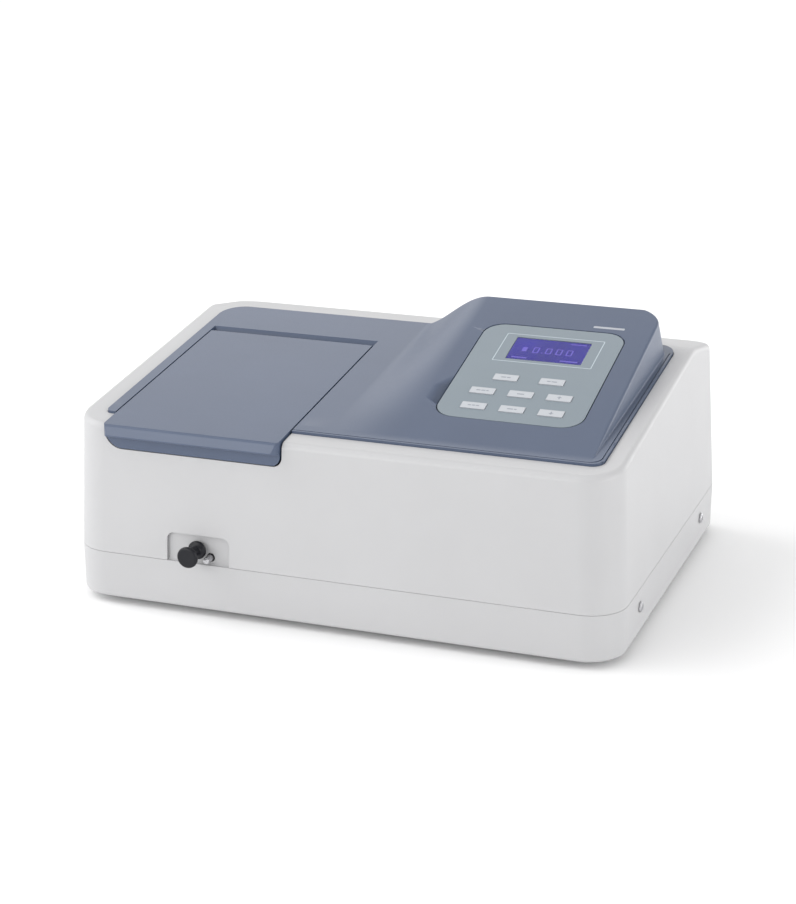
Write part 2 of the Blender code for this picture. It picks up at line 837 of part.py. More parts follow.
def make_lid():
    top = (LID_FRONT_Y, deck_z(LID_FRONT_Y))
    lip_bottom = top[1] - LIP_HEIGHT
    side = (
        top,
        (LID_FRONT_Y, lip_bottom),
        (SKIRT_Y, lip_bottom),
        (SKIRT_Y, SKIRT_BOTTOM_Z),
        (SKIRT_REAR_Y, SKIRT_BOTTOM_Z),
        (SKIRT_REAR_Y, deck_z(SKIRT_REAR_Y) - LID_FLANGE),
        (LID_REAR_Y, deck_z(LID_REAR_Y) - LID_FLANGE),
        (LID_REAR_Y, deck_z(LID_REAR_Y)),
    )
    pivot = (0.0, -HINGE_Y, -HINGE_Z)

    def in_lid(mesh):
        mesh.transform(Matrix.Translation(metres(pivot)))
        return mesh

    shell = in_lid(prism("X", side, LID_LEFT, LID_RIGHT))
    lid = add_part("lid", shell, BLUE_GREY, "lid_hinge")
    plan = rounded(
        (
            (LID_LEFT, LID_FRONT_Y, 8.0),
            (LID_RIGHT, LID_FRONT_Y, 8.5),
            (LID_RIGHT, 240.0, 0.0),
            (LID_LEFT, 240.0, 0.0),
        )
    )
    keep_inside(lid, "plan", in_lid(prism("Z", plan, 100.0, 200.0)), "lid_hinge")
    front_view = rounded(
        (
            (LID_LEFT, 220.0, 0.0),
            (LID_LEFT, SKIRT_BOTTOM_Z, SKIRT_CORNER_LEFT),
            (LID_RIGHT, SKIRT_BOTTOM_Z, SKIRT_CORNER_RIGHT),
            (LID_RIGHT, 220.0, 0.0),
        ),
        segments=5,
    )
    keep_inside(lid, "corners", in_lid(prism("Y", front_view, -5.0, 230.0)), "lid_hinge")
    inner_front = SKIRT_Y + LID_WALL
    hollow = (
        (inner_front, 100.0),
        (LID_REAR_Y - LID_WALL, 100.0),
        (LID_REAR_Y - LID_WALL, deck_z(LID_REAR_Y - LID_WALL) - LID_WALL),
        (inner_front, deck_z(inner_front) - LID_WALL),
    )
    inside = prism("X", hollow, LID_LEFT + LID_WALL, LID_RIGHT - LID_WALL)
    cut(lid, "hollow", in_lid(inside), "lid_hinge")
    barrel_ends = (LID_LEFT + 1.0, LID_RIGHT - 1.0)
    barrel = cylinders("X", HINGE_BARREL_RADIUS, *barrel_ends, (HINGE_Y, HINGE_Z), segments=16)
    join(lid, "hinge_barrel", in_lid(barrel), "lid_hinge")
    bore = cylinders("X", HINGE_PIN_RADIUS + 0.2, -230.0, -20.0, (HINGE_Y, HINGE_Z), segments=16)
    cut(lid, "hinge_bore", in_lid(bore), "lid_hinge")
    half = HINGE_EAR_WIDTH / 2 + 0.6
    ear_gaps = [
        ((x - half, HINGE_Y - 5.6, HINGE_Z - 9.0), (x + half, HINGE_Y + 9.0, HINGE_Z + 3.7))
        for x in HINGE_EARS_X
    ]
    cut(lid, "ear_gaps", in_lid(boxes(*ear_gaps)), "lid_hinge")


def make_hinge_pin():
    ends = (LID_LEFT + 0.5, LID_RIGHT - 0.5)
    pin = cylinders("X", HINGE_PIN_RADIUS, *ends, (HINGE_Y, HINGE_Z), segments=12)
    add_part("hinge_pin", pin, STEEL, "spectrophotometer")


# ---------------------------------------------------------------- sample compartment


def make_sample_well():
    box_side = (
        (WELL_FRONT_Y, WELL_BOTTOM_Z),
        (WELL_REAR_Y, WELL_BOTTOM_Z),
        (WELL_REAR_Y, deck_z(WELL_REAR_Y) - 10.0),
        (WELL_FRONT_Y, deck_z(WELL_FRONT_Y) - 10.0),
    )
    block = prism("X", box_side, WELL_LEFT, WELL_RIGHT)
    well = add_part("sample_well", block, ANODISED, "spectrophotometer")
    flange_side = deck_strip(WELL_FRONT_Y, RECESS_REAR_Y + 3.0, 9.1, 11.0)
    flange = prism("X", flange_side, LID_LEFT - 5.0, LID_RIGHT + 5.0)
    join(well, "flange", flange)
    apron = boxes(((LID_LEFT + 4.0, 9.2, 126.0), (LID_RIGHT - 4.0, WELL_FRONT_Y + 1.0, 128.0)))
    join(well, "apron", apron)
    half = HINGE_EAR_WIDTH / 2
    radius = HINGE_BARREL_RADIUS
    for side, x in zip(("left", "right"), HINGE_EARS_X):
        post_low = (x - half, HINGE_Y - radius, HINGE_Z - 8.5)
        post_high = (x + half, HINGE_Y + radius, HINGE_Z)
        join(well, f"hinge_post_{side}", boxes((post_low, post_high)))
        head = cylinders("X", radius, x - half, x + half, (HINGE_Y, HINGE_Z), segments=16)
        join(well, f"hinge_ear_{side}", head)
    bore = cylinders("X", HINGE_PIN_RADIUS + 0.15, -190.0, -60.0, (HINGE_Y, HINGE_Z), segments=12)
    cut(well, "pin_bores", bore)
    low = (WELL_LEFT + WELL_WALL, WELL_FRONT_Y + WELL_WALL, WELL_BOTTOM_Z + WELL_WALL)
    high = (WELL_RIGHT - WELL_WALL, WELL_REAR_Y - WELL_WALL, 220.0)
    cut(well, "inside", boxes((low, high)))
    cut(well, "rod_hole", cylinders("Y", ROD_RADIUS + 1.0, 20.0, 30.0, (ROD_X, ROD_Z), segments=16))
    guide = cylinders("Y", GUIDE_RADIUS + 0.25, 20.0, 215.0, (GUIDE_X, GUIDE_Z), segments=16)
    cut(well, "guide_holes", guide)
    cut(well, "beam_windows", cylinders("X", 6.0, -200.0, -45.0, (BEAM_Y, BEAM_Z), segments=16))


def make_changer():
    """Knob, pull rod and cell carriage, which slide out to the front together."""
    frame_empty("changer_slide", (ROD_X, 0.0, ROD_Z))
    tab_y = NICHE_DEPTH + front_y(ROD_Z)
    bush = (
        (3.4, 1.6),
        (6.2, 1.6),
        (6.2, 2 * GAP),
        (5.0, 2 * GAP),
        (5.0, -5.0),
        (3.4, -5.0),
        (3.4, 1.6),
    )
    bushing = turned("rod_bushing", bush, ZINC, "Y", (ROD_X, tab_y, ROD_Z))
    bushing.rotation_euler = (math.pi / 2, 0.0, 0.0)
    length = KNOB_REAR_Y - KNOB_FRONT_Y
    knob_profile = (
        (0.0, length),
        (6.8, length),
        (8.4, length - 0.7),
        (9.0, length - 2.0),
        (8.3, length - 3.8),
        (4.7, length - 5.4),
        (4.1, 6.4),
        (4.7, 4.6),
        (7.0, 3.5),
        (7.8, 2.3),
        (7.3, 0.4),
        (3.2, 0.0),
        (3.2, 9.0),
        (0.0, 9.0),
    )
    knob = turned("pull_knob", knob_profile, BLACK, "Y", (0.0, KNOB_REAR_Y, 0.0), "changer_slide")
    knob.rotation_euler = (math.pi / 2, 0.0, 0.0)
    carriage_front = BEAM_Y - 10.0
    rod_front = KNOB_REAR_Y - 8.6
    rod = cylinders("Y", ROD_RADIUS, rod_front, carriage_front + 14.0, (0.0, 0.0))
    add_part("pull_rod", rod, STEEL, "changer_slide")

    rear = BEAM_Y + (CELL_COUNT - 1) * CELL_PITCH + 10.0
    left = CARRIAGE_X - CARRIAGE_HALF_WIDTH - ROD_X
    right = CARRIAGE_X + CARRIAGE_HALF_WIDTH - ROD_X
    holder = boxes(((left, carriage_front, 4.7), (right, rear, CARRIAGE_TOP_Z - ROD_Z)))
    carriage = add_part("cell_carriage", holder, ANODISED, "changer_slide")
    saddle = boxes(((-8.0, carriage_front, -10.8), (15.0, rear, 5.0)))
    join(carriage, "saddle", saddle, "changer_slide")
    pocket = CELL_POCKET / 2
    middle = CARRIAGE_X - ROD_X
    spots = [BEAM_Y + index * CELL_PITCH for index in range(CELL_COUNT)]
    pockets = [
        (
            (middle - pocket, y - pocket, POCKET_FLOOR_Z - ROD_Z),
            (middle + pocket, y + pocket, CARRIAGE_TOP_Z),
        )
        for y in spots
    ]
    cut(carriage, "pockets", boxes(*pockets), "changer_slide")
    beam = BEAM_Z - ROD_Z
    windows = [
        ((left - 1.0, y - 3.5, beam - 7.0), (right + 1.0, y + 3.5, beam + 7.0)) for y in spots
    ]
    cut(carriage, "beam_windows", boxes(*windows), "changer_slide")
    socket_ends = (carriage_front - 1.0, carriage_front + 15.0)
    socket = cylinders("Y", ROD_RADIUS + 0.15, *socket_ends, (0.0, 0.0))
    cut(carriage, "rod_socket", socket, "changer_slide")
    guide_spot = (GUIDE_X - ROD_X, GUIDE_Z - ROD_Z)
    guide = cylinders("Y", GUIDE_RADIUS + 0.25, 60.0, 200.0, guide_spot)
    cut(carriage, "guide_bore", guide, "changer_slide")


def make_guide_rod():
    rod = cylinders("Y", GUIDE_RADIUS, GUIDE_FRONT_Y, WELL_REAR_Y + 3.0, (GUIDE_X, GUIDE_Z))
    add_part("guide_rod", rod, STEEL, "spectrophotometer")


# ---------------------------------------------------------------- optics


def make_bench_and_monochromator():
    plate = boxes((BENCH_LOW, BENCH_HIGH))
    bench = add_part("optical_bench", plate, ALUMINIUM, "spectrophotometer")
    legs = [(x, y) for x in (-35.0, 205.0) for y in (65.0, 252.0)]
    join(bench, "legs", cylinders("Z", 6.0, WALL + GAP, 32.0, *legs, segments=12))
    shaft = cylinders("Z", 3.2, 25.0, 60.0, (GRATING_X, GRATING_Y), segments=16)
    cut(bench, "shaft_hole", shaft)

    mono = add_part("mono_housing", boxes((MONO_LOW, MONO_HIGH)), ALUMINIUM, "spectrophotometer")
    inner_low = [value + MONO_WALL for value in MONO_LOW]
    inner_high = (MONO_HIGH[0] - MONO_WALL, MONO_HIGH[1] - MONO_WALL, 120.0)
    cut(mono, "inside", boxes((inner_low, inner_high)))
    cut(mono, "shaft_hole", shaft.copy())
    entrance = cylinders("X", 5.0, 90.0, 110.0, (ENTRANCE_Y, BEAM_Z), segments=16)
    cut(mono, "entrance", entrance)
    cut(mono, "exit", cylinders("X", 5.0, -50.0, -30.0, (BEAM_Y, BEAM_Z), segments=16))
    cover_low = (MONO_LOW[0], MONO_LOW[1], MONO_HIGH[2] + GAP)
    cover = boxes((cover_low, (MONO_HIGH[0], MONO_HIGH[1], MONO_HIGH[2] + 3.0)))
    add_part("mono_cover", cover, ALUMINIUM, "spectrophotometer")


def make_slits():
    for name, x, y in (
        ("entrance_slit", MONO_HIGH[0] + GAP, ENTRANCE_Y),
        ("exit_slit", MONO_LOW[0] - GAP - 1.0, BEAM_Y),
    ):
        plate = boxes(((x, y - 12.0, BEAM_Z - 12.0), (x + 1.0, y + 12.0, BEAM_Z + 12.0)))
        slit = add_part(name, plate, ANODISED, "spectrophotometer")
        opening = boxes(((x - 2.0, y - 0.5, BEAM_Z - 5.0), (x + 3.0, y + 0.5, BEAM_Z + 5.0)))
        cut(slit, "slot", opening)


def make_mirrors():
    """Flat and concave mirrors, each on a post that stands on the monochromator's floor."""
    floor = MONO_LOW[2] + MONO_WALL + GAP
    spots = (
        ("fold_mirror", -30.0, ENTRANCE_Y, 90.0, 0.0),
        ("collimating_mirror", 86.0, 184.0, -90.0, 1.6),
        ("focusing_mirror", 86.0, 112.0, -90.0, 1.6),
    )
    face = 4.0
    for name, x, y, facing, dish in spots:
        profile = (
            (0.0, face - dish),
            (8.0, face - dish * 0.7),
            (15.0, face),
            (15.0, -3.0),
            (0.0, -3.0),
        )
        mirror = turned(name, profile, MIRROR, "Z", (x, y, BEAM_Z), steps=24)
        mirror.rotation_euler = (0.0, math.radians(facing), 0.0)
        post = boxes(((x - 2.5, y - 5.0, floor), (x + 2.5, y + 5.0, BEAM_Z - 12.0)))
        join(mirror, "post", post)


def make_grating():
    motor_low = (GRATING_X - 17.5, GRATING_Y - 17.5, 8.0)
    motor_high = (GRATING_X + 17.5, GRATING_Y + 17.5, 29.7)
    motor = add_part("grating_motor", boxes((motor_low, motor_high)), ZINC, "spectrophotometer")
    shaft = cylinders("Z", 2.5, 20.0, 43.7, (GRATING_X, GRATING_Y), segments=16)
    join(motor, "shaft", shaft)
    frame_empty("grating_turn", (GRATING_X, GRATING_Y, 44.0))
    turned(
        "grating_table",
        ((0.0, 4.0), (17.0, 4.0), (17.0, 0.0), (0.0, 0.0)),
        ALUMINIUM,
        "Z",
        (0.0, 0.0, 0.0),
        "grating_turn",
    )
    block = bevelled_box((-4.0, -13.0, 4.3), (3.0, 13.0, 44.0), 0.6, 1)
    add_part("grating", block, MIRROR, "grating_turn")


def make_lamp_side():
    low = (150.0, 195.0, 36.3)
    high = (212.0, 255.0, 112.0)
    house = add_part("lamp_house", boxes((low, high)), ALUMINIUM, "spectrophotometer")
    cut(house, "inside", boxes(((153.0, 198.0, 39.3), (209.0, 252.0, 130.0))))
    cut(house, "lens_hole", cylinders("X", 12.3, 140.0, 160.0, (ENTRANCE_Y, BEAM_Z)))
    lens = ((0.0, 4.6), (6.0, 3.6), (12.0, 1.2), (12.0, -1.2), (6.0, -3.6), (0.0, -4.6))
    turned("condenser_lens", lens, CLEAR, "X", (151.5, ENTRANCE_Y, BEAM_Z))
    bulb = (
        (0.0, 50.0),
        (3.5, 49.0),
        (6.0, 45.0),
        (6.0, 30.0),
        (4.5, 26.0),
        (4.5, 20.0),
        (11.0, 20.0),
        (11.0, 4.0),
        (14.0, 4.0),
        (14.0, 0.0),
        (0.0, 0.0),
    )
    turned("tungsten_lamp", bulb, CLEAR, "Z", (LAMP_X, ENTRANCE_Y, 39.6), steps=20)

    frame_empty("filter_turn", (FILTER_WHEEL_X, FILTER_CENTRE_Y, BEAM_Z))
    rim = ((0.0, 3.0), (FILTER_RADIUS, 3.0), (FILTER_RADIUS, 0.0), (0.0, 0.0))
    wheel = turned("filter_wheel", rim, ANODISED, "X", (0.0, 0.0, 0.0), "filter_turn", steps=32)
    reach = ENTRANCE_Y - FILTER_CENTRE_Y
    holes = [
        (reach * math.cos(step * math.pi / 3), reach * math.sin(step * math.pi / 3))
        for step in range(6)
    ]
    cut(wheel, "filter_seats", cylinders("X", 6.0, -3.0, 6.0, *holes, segments=16), "filter_turn")
    motor_x = FILTER_WHEEL_X + 7.0
    can = cylinders("X", 9.0, motor_x, motor_x + 18.0, (FILTER_CENTRE_Y, BEAM_Z))
    motor = add_part("filter_motor", can, ZINC, "spectrophotometer")
    axle = (FILTER_CENTRE_Y, BEAM_Z)
    shaft = cylinders("X", 2.0, FILTER_WHEEL_X + 3.3, motor_x + 2.0, axle, segments=12)
    join(motor, "shaft", shaft)
    post_low = (motor_x + 3.0, FILTER_CENTRE_Y - 4.0, 36.3)
    post_high = (motor_x + 15.0, FILTER_CENTRE_Y + 4.0, BEAM_Z - 5.0)
    join(motor, "post", boxes((post_low, post_high)))


def make_beam_lens():
    """Lens with its barrel, between the exit slit and the sample compartment."""
    barrel = (
        (0.0, 1.8),
        (7.0, 1.0),
        (8.0, 6.0),
        (10.0, 6.0),
        (10.0, -6.0),
        (8.0, -6.0),
        (7.0, -1.0),
        (0.0, -1.8),
    )
    turned("beam_lens", barrel, CLEAR, "X", (-48.0, BEAM_Y, BEAM_Z))


def make_detector():
    low = (-228.0, 84.0, 57.0)
    high = (-194.0, 120.0, 93.0)
    box = add_part("detector_housing", boxes((low, high)), ALUMINIUM, "spectrophotometer")
    cut(box, "inside", cylinders("X", 14.0, -225.0, -200.0, (BEAM_Y, BEAM_Z)))
    cut(box, "aperture", cylinders("X", 5.0, -202.0, -190.0, (BEAM_Y, BEAM_Z), segments=16))
    can = ((0.0, 6.0), (5.0, 6.0), (5.0, 1.5), (11.0, 1.5), (11.0, 0.0), (0.0, 0.0))
    turned("photodiode", can, ZINC, "X", (-224.7, BEAM_Y, BEAM_Z), steps=20)


# ---------------------------------------------------------------- electrical pieces


def make_rear_panel():
    plate = boxes(
        (
            (PANEL_LOW[0], PANEL_Y, PANEL_LOW[1]),
            (PANEL_HIGH[0], PANEL_Y + PANEL_THICKNESS, PANEL_HIGH[1]),
        )
    )
    panel = add_part("rear_panel", plate, ZINC, "spectrophotometer")
    near, far = PANEL_Y - 3.0, PANEL_Y + 5.0
    fan_x, fan_z = FAN_CENTRE
    openings = []
    for step, half in ((-2, 16.0), (-1, 23.0), (0, 25.0), (1, 23.0), (2, 16.0)):
        slot_z = fan_z + step * 9.0
        openings.append(((fan_x - half, near, slot_z - 2.5), (fan_x + half, far, slot_z + 2.5)))
    for centre, size in (
        (INLET_CENTRE, (29.0, 21.0)),
        (SWITCH_CENTRE, (20.0, 26.0)),
        (PORT_CENTRE, (20.0, 10.0)),
    ):
        low, high = centred(centre, size)
        openings.append(((low[0], near, low[1]), (high[0], far, high[1])))
    cut(panel, "openings", boxes(*openings))
    cut(panel, "fuse_hole", cylinders("Y", 6.6, near, far, FUSE_CENTRE))


def block_at(centre, size, near, far):
    """A box behind the panel's face, around an (x, z) centre, from near to far along Y."""
    low, high = centred(centre, size)
    return boxes(((low[0], near, low[1]), (high[0], far, high[1])))


def make_mains_inlet():
    back = PANEL_Y + PANEL_THICKNESS + GAP
    flange = block_at(INLET_CENTRE, (46.0, 24.0), back, back + 3.0)
    inlet = add_part("mains_inlet", flange, BLACK, "spectrophotometer")
    join(inlet, "body", block_at(INLET_CENTRE, (28.4, 20.4), PANEL_Y - 20.0, back + 1.0))
    cut(inlet, "socket", block_at(INLET_CENTRE, (24.5, 16.5), PANEL_Y - 14.0, back + 5.0))
    x, z = INLET_CENTRE
    pins = [
        ((px - 1.0, PANEL_Y - 15.0, pz - 2.0), (px + 1.0, PANEL_Y + 2.0, pz + 2.0))
        for px, pz in ((x - 7.0, z - 3.0), (x, z + 1.0), (x + 7.0, z - 3.0))
    ]
    join(inlet, "pins", boxes(*pins))


def make_fuse_holder():
    profile = (
        (0.0, 5.0),
        (5.2, 5.0),
        (6.0, 4.2),
        (8.0, 1.6),
        (8.0, GAP),
        (6.2, GAP),
        (6.2, -24.0),
        (0.0, -24.0),
    )
    point = (FUSE_CENTRE[0], PANEL_Y + PANEL_THICKNESS, FUSE_CENTRE[1])
    turned("fuse_holder", profile, BLACK, "Y", point)


def make_data_port():
    back = PANEL_Y + PANEL_THICKNESS + GAP
    flange = block_at(PORT_CENTRE, (31.0, 12.5), back, back + 1.0)
    port = add_part("data_port", flange, ZINC, "spectrophotometer")
    join(port, "body", block_at(PORT_CENTRE, (19.2, 9.2), PANEL_Y - 9.0, back + 4.5))
    cut(port, "socket", block_at(PORT_CENTRE, (17.2, 7.2), back - 1.5, back + 6.0))


def make_power_switch():
    back = PANEL_Y + PANEL_THICKNESS + GAP
    flange = block_at(SWITCH_CENTRE, (22.0, 28.0), back, back + 1.6)
    bezel = add_part("switch_bezel", flange, BLACK, "spectrophotometer")
    join(bezel, "body", block_at(SWITCH_CENTRE, (19.4, 25.4), PANEL_Y - 12.0, back + 1.0))
    cut(bezel, "mouth", block_at(SWITCH_CENTRE, (16.4, 22.4), PANEL_Y - 9.0, back + 3.0))
    x, z = SWITCH_CENTRE
    frame_empty("rocker_pivot", (x, PANEL_Y - 1.0, z))
    face = 5.6
    rocker = rounded(
        (
            (-4.0, -8.0, 1.0),
            (-4.0, 8.0, 1.0),
            (face, 9.6, 1.0),
            (face - 1.2, 0.0, 0.0),
            (face, -9.6, 1.0),
        ),
        segments=2,
    )
    body = prism("X", rocker, -7.6, 7.6)
    part = add_part("power_rocker", body, BLACK, "rocker_pivot")
    part.rotation_euler = (ROCKER_TILT, 0.0, 0.0)


def make_fan():
    x, z = FAN_CENTRE
    half = FAN_SIZE / 2
    near, far = FAN_FRONT_Y, PANEL_Y - 1.0
    square = block_at(FAN_CENTRE, (FAN_SIZE, FAN_SIZE), near, far)
    frame = add_part("fan_frame", square, BLACK, "spectrophotometer")
    cut(frame, "bore", cylinders("Y", 28.0, near - 2.0, far + 2.0, FAN_CENTRE, segments=32))
    arm = boxes(((x - half + 1.0, near, z - 2.5), (x + half - 1.0, near + 2.5, z + 2.5)))
    join(frame, "arm", arm)
    join(frame, "hub", cylinders("Y", 11.0, near, near + 3.0, FAN_CENTRE))
    frame_empty("fan_axle", (x, near + 3.4, z))
    hub = ((0.0, 10.0), (11.0, 10.0), (12.0, 9.0), (12.0, 0.0), (0.0, 0.0))
    rotor = turned("fan_rotor", hub, BLACK, "Y", (0.0, 0.0, 0.0), "fan_axle")

    def blades(work):
        for step in range(7):
            turn = Matrix.Rotation(step * 2 * math.pi / 7, 4, "Y")
            pitch = Matrix.Rotation(math.radians(38.0), 4, "X")
            middle = Matrix.Translation(metres((18.5, 5.0, 0.0)))
            size = Matrix.Diagonal((0.0165, 0.0012, 0.011, 1.0))
            bmesh.ops.create_cube(work, size=1.0, matrix=turn @ middle @ pitch @ size)

    join(rotor, "blades", mesh_from(blades), "fan_axle")


def make_boards():
    floor = WALL + GAP
    board = boxes(((112.0, 18.0, 14.0), (216.0, 52.0, 15.6)))
    main_board = add_part("main_board", board, BOARD_GREEN, "spectrophotometer")
    chips = boxes(
        ((120.0, 24.0, 15.0), (140.0, 44.0, 18.0)),
        ((150.0, 24.0, 15.0), (178.0, 34.0, 19.0)),
        ((186.0, 24.0, 15.0), (208.0, 46.0, 26.0)),
    )
    join(main_board, "chips", chips)
    posts = [(x, y) for x in (117.0, 211.0) for y in (21.0, 49.0)]
    join(main_board, "posts", cylinders("Z", 2.5, floor, 14.5, *posts, segments=8))
    supply = bevelled_box((-205.0, 235.0, floor), (-95.0, 340.0, 58.0), 1.5, 1)
    add_part("power_supply", supply, ALUMINIUM, "spectrophotometer")


def main():
    frame_empty("pod_plane", (0.0, POD_FRONT_Y, deck_z(POD_FRONT_Y)), (POD_SLOPE, 0.0, 0.0))
    frame_empty("lid_hinge", (0.0, HINGE_Y, HINGE_Z))
    make_upper_housing()
    make_base_tray()
    make_feet()
    make_side_screws()
    make_deck_panel()
    make_keypad_overlay()
    make_display()
    make_keypad_board()
    make_keys()
    make_lid()
    make_hinge_pin()
    make_sample_well()
    make_changer()
    make_guide_rod()
    make_bench_and_monochromator()
    make_slits()
    make_mirrors()
    make_grating()
    make_lamp_side()
    make_beam_lens()
    make_detector()
    make_rear_panel()
    make_mains_inlet()
    make_fuse_holder()
    make_data_port()
    make_power_switch()
    make_fan()
    make_boards()


main()
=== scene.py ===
"""Looks of the bench spectrophotometer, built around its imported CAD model.

Shapes are built in millimetres in the casing's own frame: X to the right, Y to the rear from
the front face at the parting line, Z up from the lower edge of the base. add_piece() turns them
into the frame's metres and lets them ride on their CAD body.
"""

import json
import math

import bmesh
import bpy
from mathutils import Matrix, Vector

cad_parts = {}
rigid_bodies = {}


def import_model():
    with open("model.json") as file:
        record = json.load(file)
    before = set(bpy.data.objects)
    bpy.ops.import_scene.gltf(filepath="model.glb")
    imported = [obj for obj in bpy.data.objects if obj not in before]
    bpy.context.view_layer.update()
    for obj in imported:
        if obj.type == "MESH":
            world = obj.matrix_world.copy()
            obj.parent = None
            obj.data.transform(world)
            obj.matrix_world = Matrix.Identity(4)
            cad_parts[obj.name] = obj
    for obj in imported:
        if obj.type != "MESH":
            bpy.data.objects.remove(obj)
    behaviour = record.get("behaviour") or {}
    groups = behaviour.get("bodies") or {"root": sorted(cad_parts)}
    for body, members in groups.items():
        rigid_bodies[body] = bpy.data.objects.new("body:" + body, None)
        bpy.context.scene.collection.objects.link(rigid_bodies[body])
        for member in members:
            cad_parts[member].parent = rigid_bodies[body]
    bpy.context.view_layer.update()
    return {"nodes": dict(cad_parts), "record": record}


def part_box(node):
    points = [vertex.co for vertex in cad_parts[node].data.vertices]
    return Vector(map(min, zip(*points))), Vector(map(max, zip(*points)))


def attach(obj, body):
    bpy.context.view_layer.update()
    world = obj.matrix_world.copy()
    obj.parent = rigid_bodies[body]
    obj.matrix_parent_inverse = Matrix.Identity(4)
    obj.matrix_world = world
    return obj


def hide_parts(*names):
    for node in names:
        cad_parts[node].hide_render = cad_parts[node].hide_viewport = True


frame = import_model()

MM = 0.001
GAP = 0.3
# Points nearer than this count as one, and a face may keep this many corners before a bevel.
MERGE_DISTANCE = 0.002
MOST_CORNERS = 40

base_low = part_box("base_tray")[0]
CASING = Matrix.Translation((0.0, base_low.y, base_low.z)) @ Matrix.Scale(MM, 4)


def span(node, into=CASING):
    """Lowest and highest corner of a CAD node, in the casing's frame or another one."""
    to_local = into.inverted()
    points = [to_local @ vert.co for vert in frame["nodes"][node].data.vertices]
    low = Vector([min(point[axis] for point in points) for axis in range(3)])
    high = Vector([max(point[axis] for point in points) for axis in range(3)])
    return low, high


# Casing: half its width, its depth, its parting line and the lean of its walls.
HALF_WIDTH = span("base_tray")[1].x
DEPTH = span("base_tray")[1].y
PARTING_Z = span("upper_housing")[0].z - GAP
SEAM = 0.12
DRAFT = math.radians(3.3)
LEFT_DRAFT = math.radians(1.2)
REAR_DRAFT = math.radians(1.8)
BASE_DRAFT = math.radians(0.4)
FRONT_CORNER = 32.0
REAR_CORNER = 25.0
WALL = 3.0
TOP_EDGE = 5.0
BASE_EDGE = 3.0

# Deck and pod.
DECK_LOW, DECK_HIGH = span("deck_panel")
DECK_SLOPE = math.radians(6.8)
DECK_FRONT_Z = 153.86
DECK_PROUD = 2.0
DECK_THICKNESS = 3.0
DECK_UNDERSIDE_INSET = 2.2
GROOVE_EDGES = (1.9, 2.8)
GROOVE_DEPTH = 0.8
CREST_Y = DECK_HIGH.y + 3.0
FALL_SLOPE = math.radians(10.4)
POD_SLOPE = math.radians(14.0)
POD_FRONT_Y = 36.0
POD_CREST_Y = 275.0
POD_BACK_Y = 276.6
POD_SIDE_X = 202.2
POD_SIDE_TOP_LEAN = -0.010
POD_SIDE_FOOT_LEAN = 0.0155
POD_BLEND = (-17.0, 43.0)
POD_BLEND_POWER = 0.86
POD_CORNER = 26.0
POD_FRONT_RADIUS = 60.0
POD_CREST_RADIUS = 1.5

# Lid.
LID_LOW, LID_HIGH = span("lid")
LID_REAR_Y = 216.0
LIP_HEIGHT = 9.5
LIP_LEAN = 3.2
SKIRT_Y = 4.7
SKIRT_REAR_Y = 20.0
SKIRT_CORNERS = (16.0, 8.0)
LID_FLANGE = 8.0
LID_CLEARANCE = 1.4
LID_WALL = 3.0
LID_CORNERS = (8.0, 8.5)
HINGE_Y = 217.0
HINGE_Z = 171.0
HINGE_BARREL_RADIUS = 3.2
HINGE_EARS_X = (-176.0, -71.0)
RECESS_REAR_Y = 226.0
RECESS_LEDGE = (3.0, 4.7)
RECESS_WALL_DEPTH = 8.7

# Niche around the knob.
NICHE_LOW = (-145.8, PARTING_Z - 5.0)
NICHE_HIGH = (-90.2, 64.0)
NICHE_CORNER = 6.0
NICHE_DEPTH = 3.4


def deck_z(y):
    return DECK_FRONT_Z + (y - DECK_LOW.y) * math.tan(DECK_SLOPE)


def rim_z(y):
    return deck_z(y) - DECK_PROUD


def front_y(z):
    """Outer front face of the upper housing."""
    return (z - PARTING_Z) * math.tan(DRAFT)


# Keypad, in the pod's own plane: X across and Y up the slope.
DISPLAY_CENTRE = (121.2, 159.7)
DISPLAY_SIZE = (65.4, 37.6)
FRAME_SIZE = (85.4, 47.4)
KEY_SIZE = (20.6, 9.3)
LABEL_CENTRE = (161.0, 207.0)
SIGN_HEIGHT = 1.5
DIGIT_HEIGHT = 8.5
DIGIT_OFFSETS = (-11.0, 0.0, 9.0, 18.0)

POD_IN_CASING = (
    Matrix.Translation((0.0, POD_FRONT_Y, deck_z(POD_FRONT_Y)))
    @ Matrix.Rotation(POD_SLOPE, 4, "X")
)
POD = CASING @ POD_IN_CASING
SLOTS = {row["node"]: row["material_slot"] for row in frame["record"]["subparts"]}


# ---------------------------------------------------------------- modelling helpers


def fillet(corners, segments=6, closed=True):
    """Points of an outline whose corners are (u, v, radius)."""
    points = []
    count = len(corners)
    for index, (u, v, radius) in enumerate(corners):
        corner = Vector((u, v))
        at_end = not closed and index in (0, count - 1)
        if radius == 0 or at_end:
            points.append(corner)
            continue
        before = (Vector(corners[index - 1][:2]) - corner).normalized()
        after = (Vector(corners[(index + 1) % count][:2]) - corner).normalized()
        half = before.angle(after) / 2
        centre = corner + (before + after).normalized() * (radius / math.sin(half))
        start = corner + before * (radius / math.tan(half)) - centre
        end = corner + after * (radius / math.tan(half)) - centre
        turn = start.angle_signed(end)
        for step in range(segments + 1):
            points.append(centre + Matrix.Rotation(-turn * step / segments, 2) @ start)
    return points


def rectangle(low, high, radius=0.0, segments=6):
    """Outline of a rectangle with round corners."""
    corners = ((low[0], low[1]), (high[0], low[1]), (high[0], high[1]), (low[0], high[1]))
    return fillet([(u, v, radius) for u, v in corners], segments)


def centred(centre, size, radius=0.0, segments=6):
    low = (centre[0] - size[0] / 2, centre[1] - size[1] / 2)
    high = (centre[0] + size[0] / 2, centre[1] + size[1] / 2)
    return rectangle(low, high, radius, segments)


